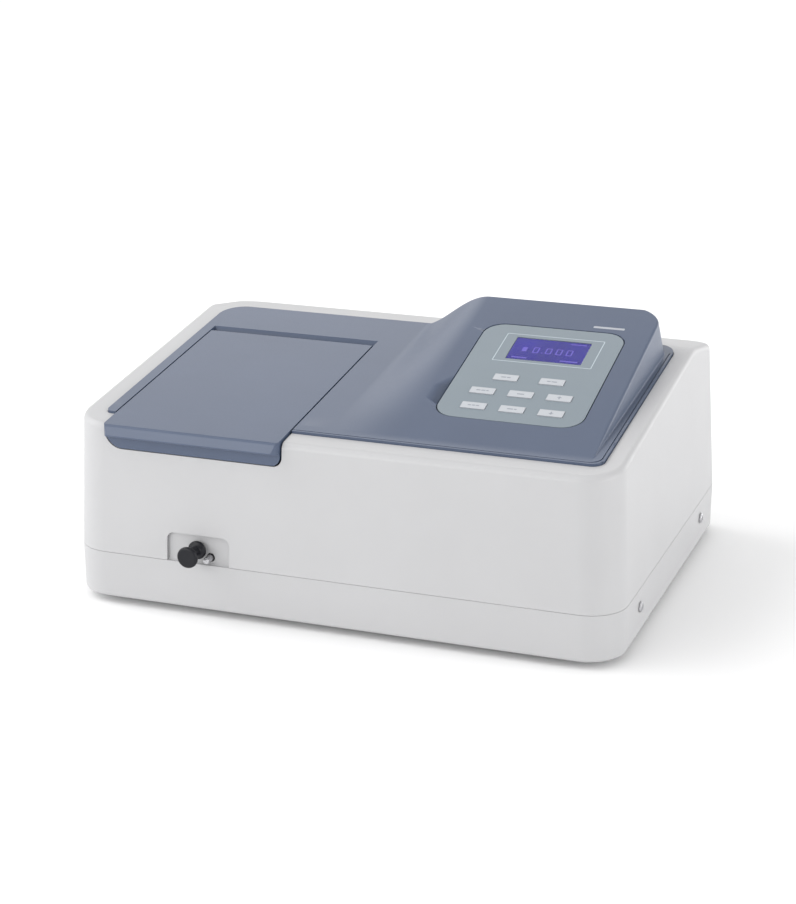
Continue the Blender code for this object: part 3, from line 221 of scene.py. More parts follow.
def mesh_from(build):
    work = bmesh.new()
    build(work)
    bmesh.ops.recalc_face_normals(work, faces=work.faces)
    mesh = bpy.data.meshes.new("shape")
    work.to_mesh(mesh)
    work.free()
    return mesh


SPREAD = {
    "X": lambda u, v, along: (along, u, v),
    "Y": lambda u, v, along: (u, along, v),
    "Z": lambda u, v, along: (u, v, along),
}


def prism(axis, outline, low, high):
    """A flat outline made thick along an axis: (y, z) on X, (x, z) on Y and (x, y) on Z."""
    spread = SPREAD[axis]

    def build(work):
        face = work.faces.new([work.verts.new(spread(u, v, low)) for u, v in outline])
        made = bmesh.ops.extrude_face_region(work, geom=[face])["geom"]
        moved = [item for item in made if isinstance(item, bmesh.types.BMVert)]
        bmesh.ops.translate(work, verts=moved, vec=Vector(spread(0, 0, high - low)))

    return mesh_from(build)


def ring(axis, outer, inner, low, high):
    """A frame between two outlines with as many points each."""
    spread = SPREAD[axis]

    def build(work):
        loops = [
            [work.verts.new(spread(u, v, along)) for u, v in outline]
            for outline, along in ((outer, low), (outer, high), (inner, high), (inner, low))
        ]
        for first, second in zip(loops, loops[1:] + loops[:1]):
            for index in range(len(first)):
                after = (index + 1) % len(first)
                work.faces.new((first[index], first[after], second[after], second[index]))

    return mesh_from(build)


def box(low, high):
    return prism("Z", rectangle(low[:2], high[:2]), low[2], high[2])


def lathe(profile, axis="Z", centre=(0.0, 0.0, 0.0), segments=48):
    """A profile of (radius, height) turned round an axis through a point."""
    spread = SPREAD[axis]

    def build(work):
        loops = []
        for radius, height in profile:
            if radius == 0:
                loops.append([work.verts.new(spread(0.0, 0.0, height))])
                continue
            angles = [2 * math.pi * step / segments for step in range(segments)]
            loops.append(
                [
                    work.verts.new(spread(radius * math.cos(a), radius * math.sin(a), height))
                    for a in angles
                ]
            )
        for first, second in zip(loops, loops[1:]):
            for step in range(segments):
                after = (step + 1) % segments
                corners = [first[step % len(first)], first[after % len(first)]]
                corners += [second[after % len(second)], second[step % len(second)]]
                work.faces.new(dict.fromkeys(corners))
        bmesh.ops.translate(work, verts=work.verts, vec=Vector(centre))

    return mesh_from(build)


def cylinder(axis, radius, low, high, centre, segments=48):
    """A rod along an axis, around a centre given in the two other directions."""
    spot = SPREAD[axis](*centre, 0.0)
    return lathe(((0.0, low), (radius, low), (radius, high), (0.0, high)), axis, spot, segments)


def joined(*meshes):
    """Several meshes as one, without merging their shapes."""
    work = bmesh.new()
    for mesh in meshes:
        work.from_mesh(mesh)
    mesh = bpy.data.meshes.new("shape")
    work.to_mesh(mesh)
    work.free()
    return mesh


def moved(mesh, matrix):
    mesh.transform(matrix)
    return mesh


def evaluated(mesh, add_modifiers):
    """The mesh as it comes out of the modifiers that a function adds."""
    holder = bpy.data.objects.new("holder", mesh)
    bpy.context.scene.collection.objects.link(holder)
    add_modifiers(holder)
    graph = bpy.context.evaluated_depsgraph_get()
    result = bpy.data.meshes.new_from_object(holder.evaluated_get(graph))
    bpy.data.objects.remove(holder)
    return result


def combine(mesh, operation, *tools):
    """A Boolean of the mesh with each tool in turn."""
    holders = [bpy.data.objects.new("tool", tool) for tool in tools]
    for holder in holders:
        bpy.context.scene.collection.objects.link(holder)

    def add_modifiers(obj):
        for holder in holders:
            modifier = obj.modifiers.new("combine", "BOOLEAN")
            modifier.operation = operation
            modifier.solver = "EXACT"
            modifier.object = holder

    result = evaluated(mesh, add_modifiers)
    for holder in holders:
        bpy.data.objects.remove(holder)
    return result


def cut(mesh, *tools):
    return combine(mesh, "DIFFERENCE", *tools)


def keep(mesh, *tools):
    return combine(mesh, "INTERSECT", *tools)


def merge(mesh, *tools):
    return combine(mesh, "UNION", *tools)


def split_underside(mesh, *planes):
    """The mesh with its lower faces divided along planes of (point, normal), for a sound bevel."""
    work = bmesh.new()
    work.from_mesh(mesh)
    for point, normal in planes:
        faces = [face for face in work.faces if face.normal.z < -0.9]
        edges = {edge for face in faces for edge in face.edges}
        verts = {vert for face in faces for vert in face.verts}
        geom = [*verts, *edges, *faces]
        bmesh.ops.bisect_plane(work, geom=geom, plane_co=point, plane_no=normal)
    work.to_mesh(mesh)
    work.free()
    return mesh


def divided(mesh, most):
    """The mesh with its faces of more corners than that cut into triangles."""
    work = bmesh.new()
    work.from_mesh(mesh)
    bmesh.ops.triangulate(work, faces=[face for face in work.faces if len(face.verts) > most])
    work.to_mesh(mesh)
    work.free()
    return mesh


def bevelled(mesh, width, segments=3, angle=35.0):
    """The mesh with its sharp edges rounded."""

    def add_modifiers(obj):
        modifier = obj.modifiers.new("edges", "BEVEL")
        modifier.width = width
        modifier.segments = segments
        modifier.limit_method = "ANGLE"
        modifier.angle_limit = math.radians(angle)
        modifier.miter_outer = "MITER_ARC"
        modifier.use_clamp_overlap = True

    return evaluated(mesh, add_modifiers)


def solidified(mesh, thickness):
    def add_modifiers(obj):
        modifier = obj.modifiers.new("wall", "SOLIDIFY")
        modifier.thickness = thickness
        modifier.offset = -1.0
        modifier.use_even_offset = True

    return evaluated(mesh, add_modifiers)


def add_piece(name, mesh, material, body, replaces=(), into=CASING, crease=40.0):
    """Put a mesh into the scene in metres, smooth it and let it ride on its body."""
    mesh.transform(into)
    mesh.name = name
    mesh.materials.clear()
    mesh.materials.append(material)
    mesh.shade_smooth()
    mesh.set_sharp_from_angle(angle=math.radians(crease))
    piece = bpy.data.objects.new(name, mesh)
    bpy.context.scene.collection.objects.link(piece)
    weighted = piece.modifiers.new("flat_faces", "WEIGHTED_NORMAL")
    weighted.keep_sharp = True
    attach(piece, body)
    if replaces:
        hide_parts(*replaces)


# ---------------------------------------------------------------- materials


NOISE_RANGE = (0.3, 0.7)


def surface(slot, colour, roughness, metallic=0.0, **extra):
    """A Principled material for one slot, with its nodes ready for more detail."""
    material = bpy.data.materials.new(slot)
    material["slot"] = slot
    material.use_nodes = True
    nodes = material.node_tree.nodes
    shader = nodes["Principled BSDF"]
    shader.inputs["Base Color"].default_value = (*colour, 1.0)
    shader.inputs["Roughness"].default_value = roughness
    shader.inputs["Metallic"].default_value = metallic
    for key, value in extra.items():
        shader.inputs[key.replace("_", " ")].default_value = value
    return material


def noise(material, cell, detail=2.0, stretch=(1.0, 1.0, 1.0)):
    """A noise texture with cells of about that many millimetres."""
    nodes = material.node_tree.nodes
    links = material.node_tree.links
    place = nodes.new("ShaderNodeTexCoord")
    scale = nodes.new("ShaderNodeMapping")
    scale.inputs["Scale"].default_value = stretch
    texture = nodes.new("ShaderNodeTexNoise")
    texture.inputs["Scale"].default_value = 1.0 / (cell * MM)
    texture.inputs["Detail"].default_value = detail
    links.new(place.outputs["Object"], scale.inputs["Vector"])
    links.new(scale.outputs["Vector"], texture.inputs["Vector"])
    return texture.outputs["Fac"]


def remap(material, value, low, high):
    """Stretch the usual range of a noise to another range."""
    node = material.node_tree.nodes.new("ShaderNodeMapRange")
    node.inputs["From Min"].default_value = NOISE_RANGE[0]
    node.inputs["From Max"].default_value = NOISE_RANGE[1]
    node.inputs["To Min"].default_value = low
    node.inputs["To Max"].default_value = high
    material.node_tree.links.new(value, node.inputs["Value"])
    return node.outputs["Result"]


def tint(material, value, dark, light):
    """Colour the surface between two colours by a value."""
    nodes = material.node_tree.nodes
    ramp = nodes.new("ShaderNodeValToRGB")
    ramp.color_ramp.elements[0].position = NOISE_RANGE[0]
    ramp.color_ramp.elements[1].position = NOISE_RANGE[1]
    ramp.color_ramp.elements[0].color = (*dark, 1.0)
    ramp.color_ramp.elements[1].color = (*light, 1.0)
    material.node_tree.links.new(value, ramp.inputs["Fac"])
    shader = nodes["Principled BSDF"]
    material.node_tree.links.new(ramp.outputs["Color"], shader.inputs["Base Color"])


def rough(material, value, low, high):
    shader = material.node_tree.nodes["Principled BSDF"]
    result = remap(material, value, low, high)
    material.node_tree.links.new(result, shader.inputs["Roughness"])


def bump(material, value, height):
    """Raise the surface by the value, over a height in millimetres."""
    nodes = material.node_tree.nodes
    node = nodes.new("ShaderNodeBump")
    node.inputs["Distance"].default_value = height * MM
    links = material.node_tree.links
    links.new(value, node.inputs["Height"])
    shader = nodes["Principled BSDF"]
    if shader.inputs["Normal"].is_linked:
        links.new(shader.inputs["Normal"].links[0].from_socket, node.inputs["Normal"])
    links.new(node.outputs["Normal"], shader.inputs["Normal"])


def shaded(colour, share):
    return tuple(min(1.0, channel * share) for channel in colour)


def plastic(slot, colour, roughness, grain=0.7, depth=0.02, variation=0.02, **extra):
    """Moulded plastic: a fine grain, and broad faint changes of colour and gloss."""
    material = surface(slot, colour, roughness, **extra)
    broad = noise(material, 60.0, 3.0)
    tint(material, broad, shaded(colour, 1 - variation), shaded(colour, 1 + variation))
    fine = noise(material, grain, 2.0)
    rough(material, fine, roughness - 0.04, roughness + 0.05)
    bump(material, fine, depth)
    return material


def metal(slot, colour, roughness, stretch=(1.0, 1.0, 1.0), grain=0.4, depth=0.004):
    """Metal with fine marks, drawn out along one direction where it is brushed or turned."""
    material = surface(slot, colour, roughness, 1.0)
    broad = noise(material, 25.0, 3.0)
    tint(material, broad, shaded(colour, 0.93), shaded(colour, 1.05))
    marks = noise(material, grain, 3.0, stretch)
    rough(material, marks, max(0.02, roughness - 0.06), roughness + 0.1)
    bump(material, marks, depth)
    return material


WHITE_COLOUR = (0.475, 0.475, 0.483)
BLUE_GREY_COLOUR = (0.070, 0.094, 0.152)


def make_materials():
    made = [
        plastic("white_housing", WHITE_COLOUR, 0.42, 0.6, 0.012, 0.012),
        plastic("blue_grey_panel", BLUE_GREY_COLOUR, 0.36, 0.5, 0.01, 0.03),
        plastic("keypad_film", (0.20, 0.24, 0.272), 0.38, 0.35, 0.006, 0.02),
        plastic("key_white", (0.47, 0.49, 0.52), 0.4, 0.3, 0.004, 0.01),
        plastic(
            "black_plastic", (0.007, 0.0075, 0.011), 0.36, 0.5, 0.01, 0.1, Specular_IOR_Level=0.3
        ),
        plastic("black_rubber", (0.02, 0.02, 0.02), 0.8, 1.2, 0.05, 0.15),
        metal("black_anodised", (0.03, 0.03, 0.033), 0.5),
        metal("polished_steel", (0.52, 0.52, 0.54), 0.26, (1.0, 0.05, 1.0), 0.3, 0.002),
        metal("zinc_plated_steel", (0.36, 0.36, 0.35), 0.3, (0.04, 1.0, 1.0)),
        metal("cast_aluminium", (0.52, 0.52, 0.53), 0.45, grain=1.4, depth=0.05),
        metal("mirror_coating", (0.92, 0.92, 0.94), 0.04, grain=5.0, depth=0.0005),
    ]
    glass = surface("clear_glass", (0.96, 0.98, 1.0), 0.04, Transmission_Weight=1.0, IOR=1.2)
    rough(glass, noise(glass, 9.0), 0.02, 0.06)
    made.append(glass)
    made.append(make_display_material())
    made.append(make_board_material())
    return {material["slot"]: material for material in made}


def make_display_material():
    """Liquid crystal: indigo, with broad random changes of tone and a faint glow that is painted
    light, standing in for the lamp light the clear pane keeps off it.
    """
    colour = (0.024, 0.016, 0.27)
    material = surface(
        "display_indigo", colour, 0.25, Emission_Strength=0.08, Specular_IOR_Level=0.15
    )
    shader = material.node_tree.nodes["Principled BSDF"]
    # Painted light: this emission is a faint glow in place of the lamp light that the clear pane
    # blocks.
    shader.inputs["Emission Color"].default_value = (0.09, 0.06, 0.85, 1.0)
    tint(material, noise(material, 30.0), shaded(colour, 0.85), shaded(colour, 1.15))
    rough(material, noise(material, 0.4), 0.2, 0.3)
    return material


def make_board_material():
    """Green solder mask over faint tracks."""
    material = surface("circuit_board", (0.02, 0.14, 0.06), 0.35)
    nodes = material.node_tree.nodes
    links = material.node_tree.links
    place = nodes.new("ShaderNodeTexCoord")
    tracks = nodes.new("ShaderNodeTexBrick")
    tracks.inputs["Scale"].default_value = 120.0
    tracks.inputs["Color1"].default_value = (0.015, 0.12, 0.05, 1.0)
    tracks.inputs["Color2"].default_value = (0.02, 0.17, 0.07, 1.0)
    tracks.inputs["Mortar"].default_value = (0.05, 0.28, 0.12, 1.0)
    shader = nodes["Principled BSDF"]
    links.new(place.outputs["Object"], tracks.inputs["Vector"])
    links.new(tracks.outputs["Color"], shader.inputs["Base Color"])
    bump(material, tracks.outputs["Fac"], 0.03)
    return material


MATERIALS = make_materials()


def ink(slot, name, colour):
    """A printed colour, on a surface that takes its finish from another slot."""
    material = plastic(name, colour, 0.5, 0.3, 0.003)
    material["slot"] = slot
    return material


# ---------------------------------------------------------------- casing


def plan_outline():
    corners = (
        (-HALF_WIDTH, 0.0, FRONT_CORNER),
        (HALF_WIDTH, 0.0, FRONT_CORNER),
        (HALF_WIDTH, DEPTH, REAR_CORNER),
        (-HALF_WIDTH, DEPTH, REAR_CORNER),
    )
    return fillet(corners, 16)


def leaning_block(low, high, left_draft, front_draft, rear_draft):
    """The body's plan made thick, with walls that lean inwards away from the parting line."""
    mesh = prism("Z", plan_outline(), low, high)
    work = bmesh.new()
    work.from_mesh(mesh)
    for vert in work.verts:
        rise = abs(vert.co.z - PARTING_Z)
        if vert.co.x < 0.0:
            vert.co.x += rise * math.tan(left_draft)
        else:
            vert.co.x -= rise * math.tan(front_draft)
        if vert.co.y < DEPTH / 2:
            vert.co.y += rise * math.tan(front_draft)
        else:
            vert.co.y -= rise * math.tan(rear_draft)
    return work


def slice_top(work, slope):
    """Cut away what is above a plane through the crest, which rises to the rear."""
    bmesh.ops.bisect_plane(
        work,
        geom=list(work.verts) + list(work.edges) + list(work.faces),
        plane_co=(0.0, CREST_Y, rim_z(CREST_Y)),
        plane_no=(0.0, -math.sin(slope), math.cos(slope)),
        clear_outer=True,
    )
    bmesh.ops.contextual_create(work, geom=[edge for edge in work.edges if edge.is_boundary])
    work.normal_update()


def round_edges(work, wanted, radius, segments):
    work.normal_update()
    bmesh.ops.bevel(
        work,
        geom=[edge for edge in work.edges if len(edge.link_faces) == 2 and wanted(edge)],
        offset=radius,
        segments=segments,
        affect="EDGES",
        profile=0.5,
    )
    work.normal_update()


def open_shell(work, mouth_side, radius):
    """Round the closed end's rim, open the other end and give the walls their thickness."""

    def at_rim(edge):
        heights = sorted(-mouth_side * face.normal.z for face in edge.link_faces)
        return heights[0] < 0.5 and heights[1] > 0.8

    round_edges(work, at_rim, radius, 6)
    mouth = [face for face in work.faces if mouth_side * face.normal.z > 0.999]
    bmesh.ops.delete(work, geom=mouth, context="FACES")
    mesh = bpy.data.meshes.new("shell")
    work.to_mesh(mesh)
    work.free()
    return solidified(mesh, WALL)


def deck_outline(grow=0.0):
    return fillet(
        (
            (DECK_LOW.x - grow, DECK_LOW.y - grow, 6.0),
            (DECK_HIGH.x + grow, DECK_LOW.y - grow, 10.0),
            (DECK_HIGH.x + grow, DECK_HIGH.y + grow, 17.0),
            (DECK_LOW.x - grow, DECK_HIGH.y + grow, 22.0),
        ),
        12,
    )


def niche_outline():
    (left, bottom), (right, top) = NICHE_LOW, NICHE_HIGH
    return fillet(
        (
            (left, bottom, 0.0),
            (right, bottom, 0.0),
            (right, top, NICHE_CORNER),
            (left, top, NICHE_CORNER),
        ),
        10,
    )


def lid_front_view(grow, top):
    left = LID_LOW.x - grow
    right = LID_HIGH.x + grow
    bottom = LID_LOW.z - (0.6 if grow else 0.0)
    return fillet(
        (
            (left, top, 0.0),
            (left, bottom, SKIRT_CORNERS[0]),
            (right, bottom, SKIRT_CORNERS[1]),
            (right, top, 0.0),
        ),
        12,
    )


def slot_outline(centre, length, width):
    """Outline of an upright slot with round ends."""
    return centred(centre, (width, length), width / 2 - 0.01, 8)


def make_upper_housing():
    work = leaning_block(PARTING_Z + SEAM, 260.0, LEFT_DRAFT, DRAFT, REAR_DRAFT)
    slice_top(work, -FALL_SLOPE)
    slice_top(work, DECK_SLOPE)

    def at_crest(edge):
        return all(face.normal.z > 0.8 for face in edge.link_faces) and edge.calc_face_angle() > 0.1

    round_edges(work, at_crest, 5.0, 3)
    shell = open_shell(work, -1, TOP_EDGE)
    panel_low, panel_high = span("rear_panel")
    window = rectangle(
        (panel_low.x + 6.0, panel_low.z + 6.0), (panel_high.x - 6.0, panel_high.z - 6.0), 4.0
    )
    vents = [
        prism("Y", slot_outline((x + 2.0, 95.0), 50.0, 4.0), 350.0, 370.0)
        for x in range(-200, -60, 14)
    ]
    shell = cut(
        shell,
        prism("Z", deck_outline(0.4), 120.0, 230.0),
        prism("Y", lid_front_view(LID_CLEARANCE, 200.0), -5.0, DECK_LOW.y + 1.0),
        prism("Y", niche_outline(), -5.0, 12.0),
        prism("Y", window, 350.0, 370.0),
        joined(*vents),
    )
    shell = bevelled(shell, 0.5, 2)
    add_piece("upper_casing", shell, MATERIALS["white_housing"], "casing", ["upper_housing"])


def make_base():
    height = PARTING_Z - SEAM
    block = leaning_block(0.0, height, BASE_DRAFT, BASE_DRAFT, BASE_DRAFT)
    shell = open_shell(block, 1, BASE_EDGE)
    tab_top = NICHE_HIGH[1] + 4.0
    tab_back = NICHE_DEPTH + 3.0
    tab = fillet(
        (
            (WALL - 1.0, PARTING_Z - 12.0, 0.0),
            (tab_back, PARTING_Z - 12.0, 0.0),
            (tab_back + front_y(tab_top), tab_top, 0.0),
            (NICHE_DEPTH + front_y(tab_top), tab_top, 0.0),
            (NICHE_DEPTH, height, 3.0),
            (WALL - 1.0, height, 0.0),
        ),
        8,
    )
    shell = merge(shell, prism("X", tab, NICHE_LOW[0] - 5.0, NICHE_HIGH[0] + 5.0))
    rod = span("rod_bushing")
    rod_at = ((rod[0].x + rod[1].x) / 2, (rod[0].z + rod[1].z) / 2)
    guide = span("guide_rod")
    guide_at = ((guide[0].x + guide[1].x) / 2, (guide[0].z + guide[1].z) / 2)
    screws = []
    for end in ("front", "rear"):
        low, high = span(f"side_screw_{end}_right")
        spot = ((low.y + high.y) / 2, (low.z + high.z) / 2)
        screws.append(cylinder("X", 2.4, -240.0, 240.0, spot, 24))
    vents = [
        prism("Z", centred((x + 2.5, 302.5), (5.0, 55.0), 2.49, 8), -2.0, 6.0)
        for x in range(-30, 60, 12)
    ]
    shell = cut(
        shell,
        cylinder("Y", 5.3, -2.0, 12.0, rod_at),
        cylinder("Y", 3.7, -2.0, 12.0, guide_at),
        *screws,
        joined(*vents),
    )
    shell = bevelled(shell, 0.4, 2)
    add_piece("base_casing", shell, MATERIALS["white_housing"], "casing", ["base_tray"])


# ---------------------------------------------------------------- deck


def pod_path(back):
    """(y, height over the deck) along the pod, with its crest at a distance before the back."""
    rise = math.tan(POD_SLOPE) - math.tan(DECK_SLOPE)
    crest = (POD_CREST_Y - back, (POD_CREST_Y - back - POD_FRONT_Y) * rise)
    corners = (
        (DECK_LOW.y - 6.0, 0.0, 0.0),
        (POD_FRONT_Y, 0.0, POD_FRONT_RADIUS),
        (*crest, POD_CREST_RADIUS),
        (POD_BACK_Y - back, 0.0, 0.6),
        (DECK_HIGH.y + 6.0, 0.0, 0.0),
    )
    return fillet(corners, 8, closed=False)


def height_at(path, y):
    for (y0, h0), (y1, h1) in zip(path, path[1:]):
        if y0 <= y <= y1 and y1 > y0:
            return h0 + (h1 - h0) * (y - y0) / (y1 - y0)
    return 0.0


def pod_section(y, height, inset):
    """(x, share of the pod's height) across the deck at one y."""
    run = max(0.0, min(y, POD_CREST_Y) - POD_FRONT_Y)
    middle_of_back = (POD_CREST_Y + POD_BACK_Y) / 2
    past = min(1.0, max(0.0, (y - (middle_of_back - POD_CORNER)) / POD_CORNER))
    shift = inset + POD_CORNER * (1 - math.sqrt(1 - past * past))
    top_x = POD_SIDE_X - 0.2 + run * POD_SIDE_TOP_LEAN - shift
    foot_x = POD_SIDE_X + 0.2 + run * POD_SIDE_FOOT_LEAN - shift
    left, right = POD_BLEND
    section = [(x, 0.0) for x in (DECK_LOW.x - 6.0, LID_LOW.x, -120.0, LID_HIGH.x, left - 20.0)]
    for step in range(25):
        share = step / 24
        eased = share**POD_BLEND_POWER
        section.append((left + share * (right - left), eased * eased * (3 - 2 * eased)))
    section += [(right + 20.0, 1.0), ((right + top_x) / 2, 1.0)]
    tall = max(height, 0.01)
    side = fillet(
        (
            (top_x - 12.0, tall, 0.0),
            (top_x, tall, min(2.5, tall * 0.45)),
            (foot_x, 0.0, min(1.2, tall * 0.3)),
            (foot_x + 3.0, 0.0, 0.0),
        ),
        5,
        closed=False,
    )
    section += [(x, h / tall) for x, h in side]
    section.append((DECK_HIGH.x + 6.0, 0.0))
    return section


def deck_surface(rows, inset, drop):
    """Rows of points of the deck's upper or lower surface."""
    path = pod_path(inset)
    surface_rows = []
    for y in rows:
        height = height_at(path, y)
        section = pod_section(y, height, inset)
        surface_rows.append([(x, y, deck_z(y) + share * height - drop) for x, share in section])
    return surface_rows


def deck_sheet():
    """The deck and its pod as a closed sheet, before it is trimmed."""
    rows = {y for y, _ in pod_path(0.0)} | {y for y, _ in pod_path(DECK_UNDERSIDE_INSET)}
    middle_of_back = (POD_CREST_Y + POD_BACK_Y) / 2
    rows |= {
        middle_of_back - POD_CORNER * (1 - math.sin(step * math.pi / 20)) for step in range(11)
    }
    rows |= {float(y) for y in range(60, 260, 20)} | {RECESS_REAR_Y - 4.0, RECESS_REAR_Y + 4.0}
    rows = sorted(rows)
    upper = deck_surface(rows, 0.0, 0.0)
    lower = deck_surface(rows, DECK_UNDERSIDE_INSET, DECK_THICKNESS)

    def build(work):
        grids = [[[work.verts.new(p) for p in row] for row in side] for side in (upper, lower)]
        for grid in grids:
            for first, second in zip(grid, grid[1:]):
                for i in range(len(first) - 1):
                    work.faces.new((first[i], first[i + 1], second[i + 1], second[i]))
        edges = [edge for edge in work.edges if edge.is_boundary]
        bmesh.ops.bridge_loops(work, edges=edges)

    return mesh_from(build)


def along_deck(mesh):
    """Shear a mesh so that its level faces lie parallel to the deck, from Z 0 on the deck."""
    shear = Matrix.Identity(4)
    shear[2][1] = math.tan(DECK_SLOPE)
    shear[2][3] = deck_z(0.0)
    return moved(mesh, shear)


def overlay_outline(grow, radius):
    """Outline around the keypad overlay, in the pod's plane."""
    low, high = span("keypad_overlay", POD)
    return rectangle(
        (low.x - grow, low.y - grow), (high.x + grow, high.y + grow), radius, 12
    )


def make_deck():
    sheet = keep(deck_sheet(), prism("Z", deck_outline(), 120.0, 230.0))
    left = LID_LOW.x - LID_CLEARANCE
    right = LID_HIGH.x + LID_CLEARANCE
    plan = rectangle((left - 2.0, DECK_LOW.y + 1.0), (right + 2.0, RECESS_REAR_Y + 2.0))
    wall = along_deck(prism("Z", plan, -RECESS_WALL_DEPTH, -1.0))
    ledge_y = RECESS_REAR_Y - RECESS_LEDGE[0]
    opening = (
        (-10.0, 100.0),
        (ledge_y, 100.0),
        (ledge_y, deck_z(RECESS_REAR_Y) - RECESS_LEDGE[1]),
        (RECESS_REAR_Y, deck_z(RECESS_REAR_Y)),
        (RECESS_REAR_Y, 230.0),
        (-10.0, 230.0),
    )
    pocket = overlay_outline(0.9, 18.0)
    through = overlay_outline(-4.5, 13.0)
    outer, inner = [deck_outline(-edge) for edge in GROOVE_EDGES]
    reach_low = (LID_HIGH.x - 10.0, DECK_LOW.y - 10.0, -2.0)
    reach_high = (DECK_HIGH.x + 10.0, CREST_Y - 22.0, 4.0)
    groove = keep(ring("Z", outer, inner, -GROOVE_DEPTH, 2.0), box(reach_low, reach_high))
    sheet = merge(sheet, wall)
    sheet = cut(
        sheet,
        prism("X", opening, left, right),
        moved(prism("Z", pocket, -2.4, 8.0), POD_IN_CASING),
        moved(prism("Z", through, -12.0, 8.0), POD_IN_CASING),
    )
    sheet = split_underside(
        sheet,
        ((left - 1.0, 0.0, 0.0), (1.0, 0.0, 0.0)),
        ((right + 1.0, 0.0, 0.0), (1.0, 0.0, 0.0)),
        ((0.0, RECESS_REAR_Y + 1.0, 0.0), (0.0, 1.0, 0.0)),
    )
    sheet = cut(bevelled(sheet, 0.8, 3), along_deck(groove))
    sheet = bevelled(divided(sheet, MOST_CORNERS), 0.2, 2, 50.0)
    add_piece("deck_cover", sheet, MATERIALS["blue_grey_panel"], "casing", ["deck_panel"])


# ---------------------------------------------------------------- lid


def make_lid():
    front = LID_LOW.y
    lip_bottom = deck_z(front) - LIP_HEIGHT
    profile = fillet(
        (
            (front + LIP_LEAN, deck_z(front + LIP_LEAN), 3.0),
            (front, lip_bottom, 1.4),
            (SKIRT_Y, lip_bottom, 1.0),
            (SKIRT_Y, LID_LOW.z, 1.0),
            (SKIRT_REAR_Y, LID_LOW.z, 0.0),
            (SKIRT_REAR_Y, deck_z(SKIRT_REAR_Y) - LID_FLANGE, 0.0),
            (LID_REAR_Y, deck_z(LID_REAR_Y) - LID_FLANGE, 0.0),
            (LID_REAR_Y, deck_z(LID_REAR_Y), 1.2),
        ),
        5,
    )
    plan = fillet(
        (
            (LID_LOW.x, front, LID_CORNERS[0]),
            (LID_HIGH.x, front, LID_CORNERS[1]),
            (LID_HIGH.x, 240.0, 0.0),
            (LID_LOW.x, 240.0, 0.0),
        ),
        14,
    )
    shell = keep(
        prism("X", profile, LID_LOW.x, LID_HIGH.x),
        prism("Z", plan, 100.0, 200.0),
        prism("Y", lid_front_view(0.0, 220.0), -9.0, 230.0),
    )
    shell = bevelled(shell, 0.9, 3)
    inner_front = SKIRT_Y + LID_WALL
    inner_rear = LID_REAR_Y - LID_WALL
    hollow = (
        (inner_front, 100.0),
        (inner_rear, 100.0),
        (inner_rear, deck_z(inner_rear) - LID_WALL),
        (inner_front, deck_z(inner_front) - LID_WALL),
    )
    shell = cut(shell, prism("X", hollow, LID_LOW.x + LID_WALL, LID_HIGH.x - LID_WALL))
    hinge = (HINGE_Y, HINGE_Z)
    ends = (LID_LOW.x + 1.0, LID_HIGH.x - 1.0)
    shell = merge(shell, cylinder("X", HINGE_BARREL_RADIUS, *ends, hinge, 32))
    ear_gaps = [
        box((x - 3.6, HINGE_Y - 5.6, HINGE_Z - 9.0), (x + 3.6, HINGE_Y + 9.0, HINGE_Z + 3.7))
        for x in HINGE_EARS_X
    ]
    shell = cut(shell, cylinder("X", 1.7, -230.0, -20.0, hinge, 24), *ear_gaps)
    shell = bevelled(shell, 0.3, 2, 50.0)
    add_piece("lid_cover", shell, MATERIALS["blue_grey_panel"], "lid", ["lid"])
    seal_plan = ((LID_LOW.x + 5.0, 12.0), (LID_HIGH.x - 5.0, LID_REAR_Y - 6.0))
    seal = ring("Z", rectangle(*seal_plan, 6.0), inner_seal(seal_plan, 3.5), -5.2, -3.2)
    add_piece("lid_seal", along_deck(seal), MATERIALS["black_rubber"], "lid")


def inner_seal(plan, width):
    (left, front), (right, rear) = plan
    return rectangle((left + width, front + width), (right - width, rear - width), 2.5)


# ---------------------------------------------------------------- keypad and display


def key_places():
    """Name of each key and the middle of its top, in the pod's plane."""
    places = []
    for name in sorted(frame["nodes"]):
        if name.startswith("key_"):
            low, high = span(name, POD)
            places.append((name, ((low.x + high.x) / 2, (low.y + high.y) / 2), high.z))
    return places


def make_overlay():
    low, high = span("keypad_overlay", POD)
    film = prism("Z", rectangle(low[:2], high[:2], 18.0, 14), low.z, high.z)
    windows = [prism("Z", centred(DISPLAY_CENTRE, DISPLAY_SIZE, 0.4), -4.0, 4.0)]
    size = (KEY_SIZE[0] + 0.5, KEY_SIZE[1] + 0.5)
    windows += [prism("Z", centred(place, size, 0.8), -4.0, 4.0) for _, place, _ in key_places()]
    film = bevelled(cut(film, joined(*windows)), 0.25, 2)
    add_piece(
        "keypad_film", film, MATERIALS["keypad_film"], "casing", ["keypad_overlay"], into=POD
    )
    outer = centred(DISPLAY_CENTRE, FRAME_SIZE, 1.0)
    inner = centred(DISPLAY_CENTRE, (FRAME_SIZE[0] - 1.1, FRAME_SIZE[1] - 1.1), 0.45)
    line = ring("Z", outer, inner, high.z - 0.05, high.z + 0.04)
    pale = ink("keypad_film", "pale_print", (0.55, 0.62, 0.68))
    add_piece("display_outline", line, pale, "casing", into=POD)


def zero(place):
    """The six bars of a zero in seven-segment style."""
    x, y = place
    width = DIGIT_HEIGHT * 0.5
    thick = DIGIT_HEIGHT * 0.13
    half = DIGIT_HEIGHT / 2
    return [
        centred((x, y + half), (width, thick)),
        centred((x + width / 2, y + half / 2), (thick, half)),
        centred((x + width / 2, y - half / 2), (thick, half)),
        centred((x, y - half), (width, thick)),
        centred((x - width / 2, y - half / 2), (thick, half)),
        centred((x - width / 2, y + half / 2), (thick, half)),
    ]


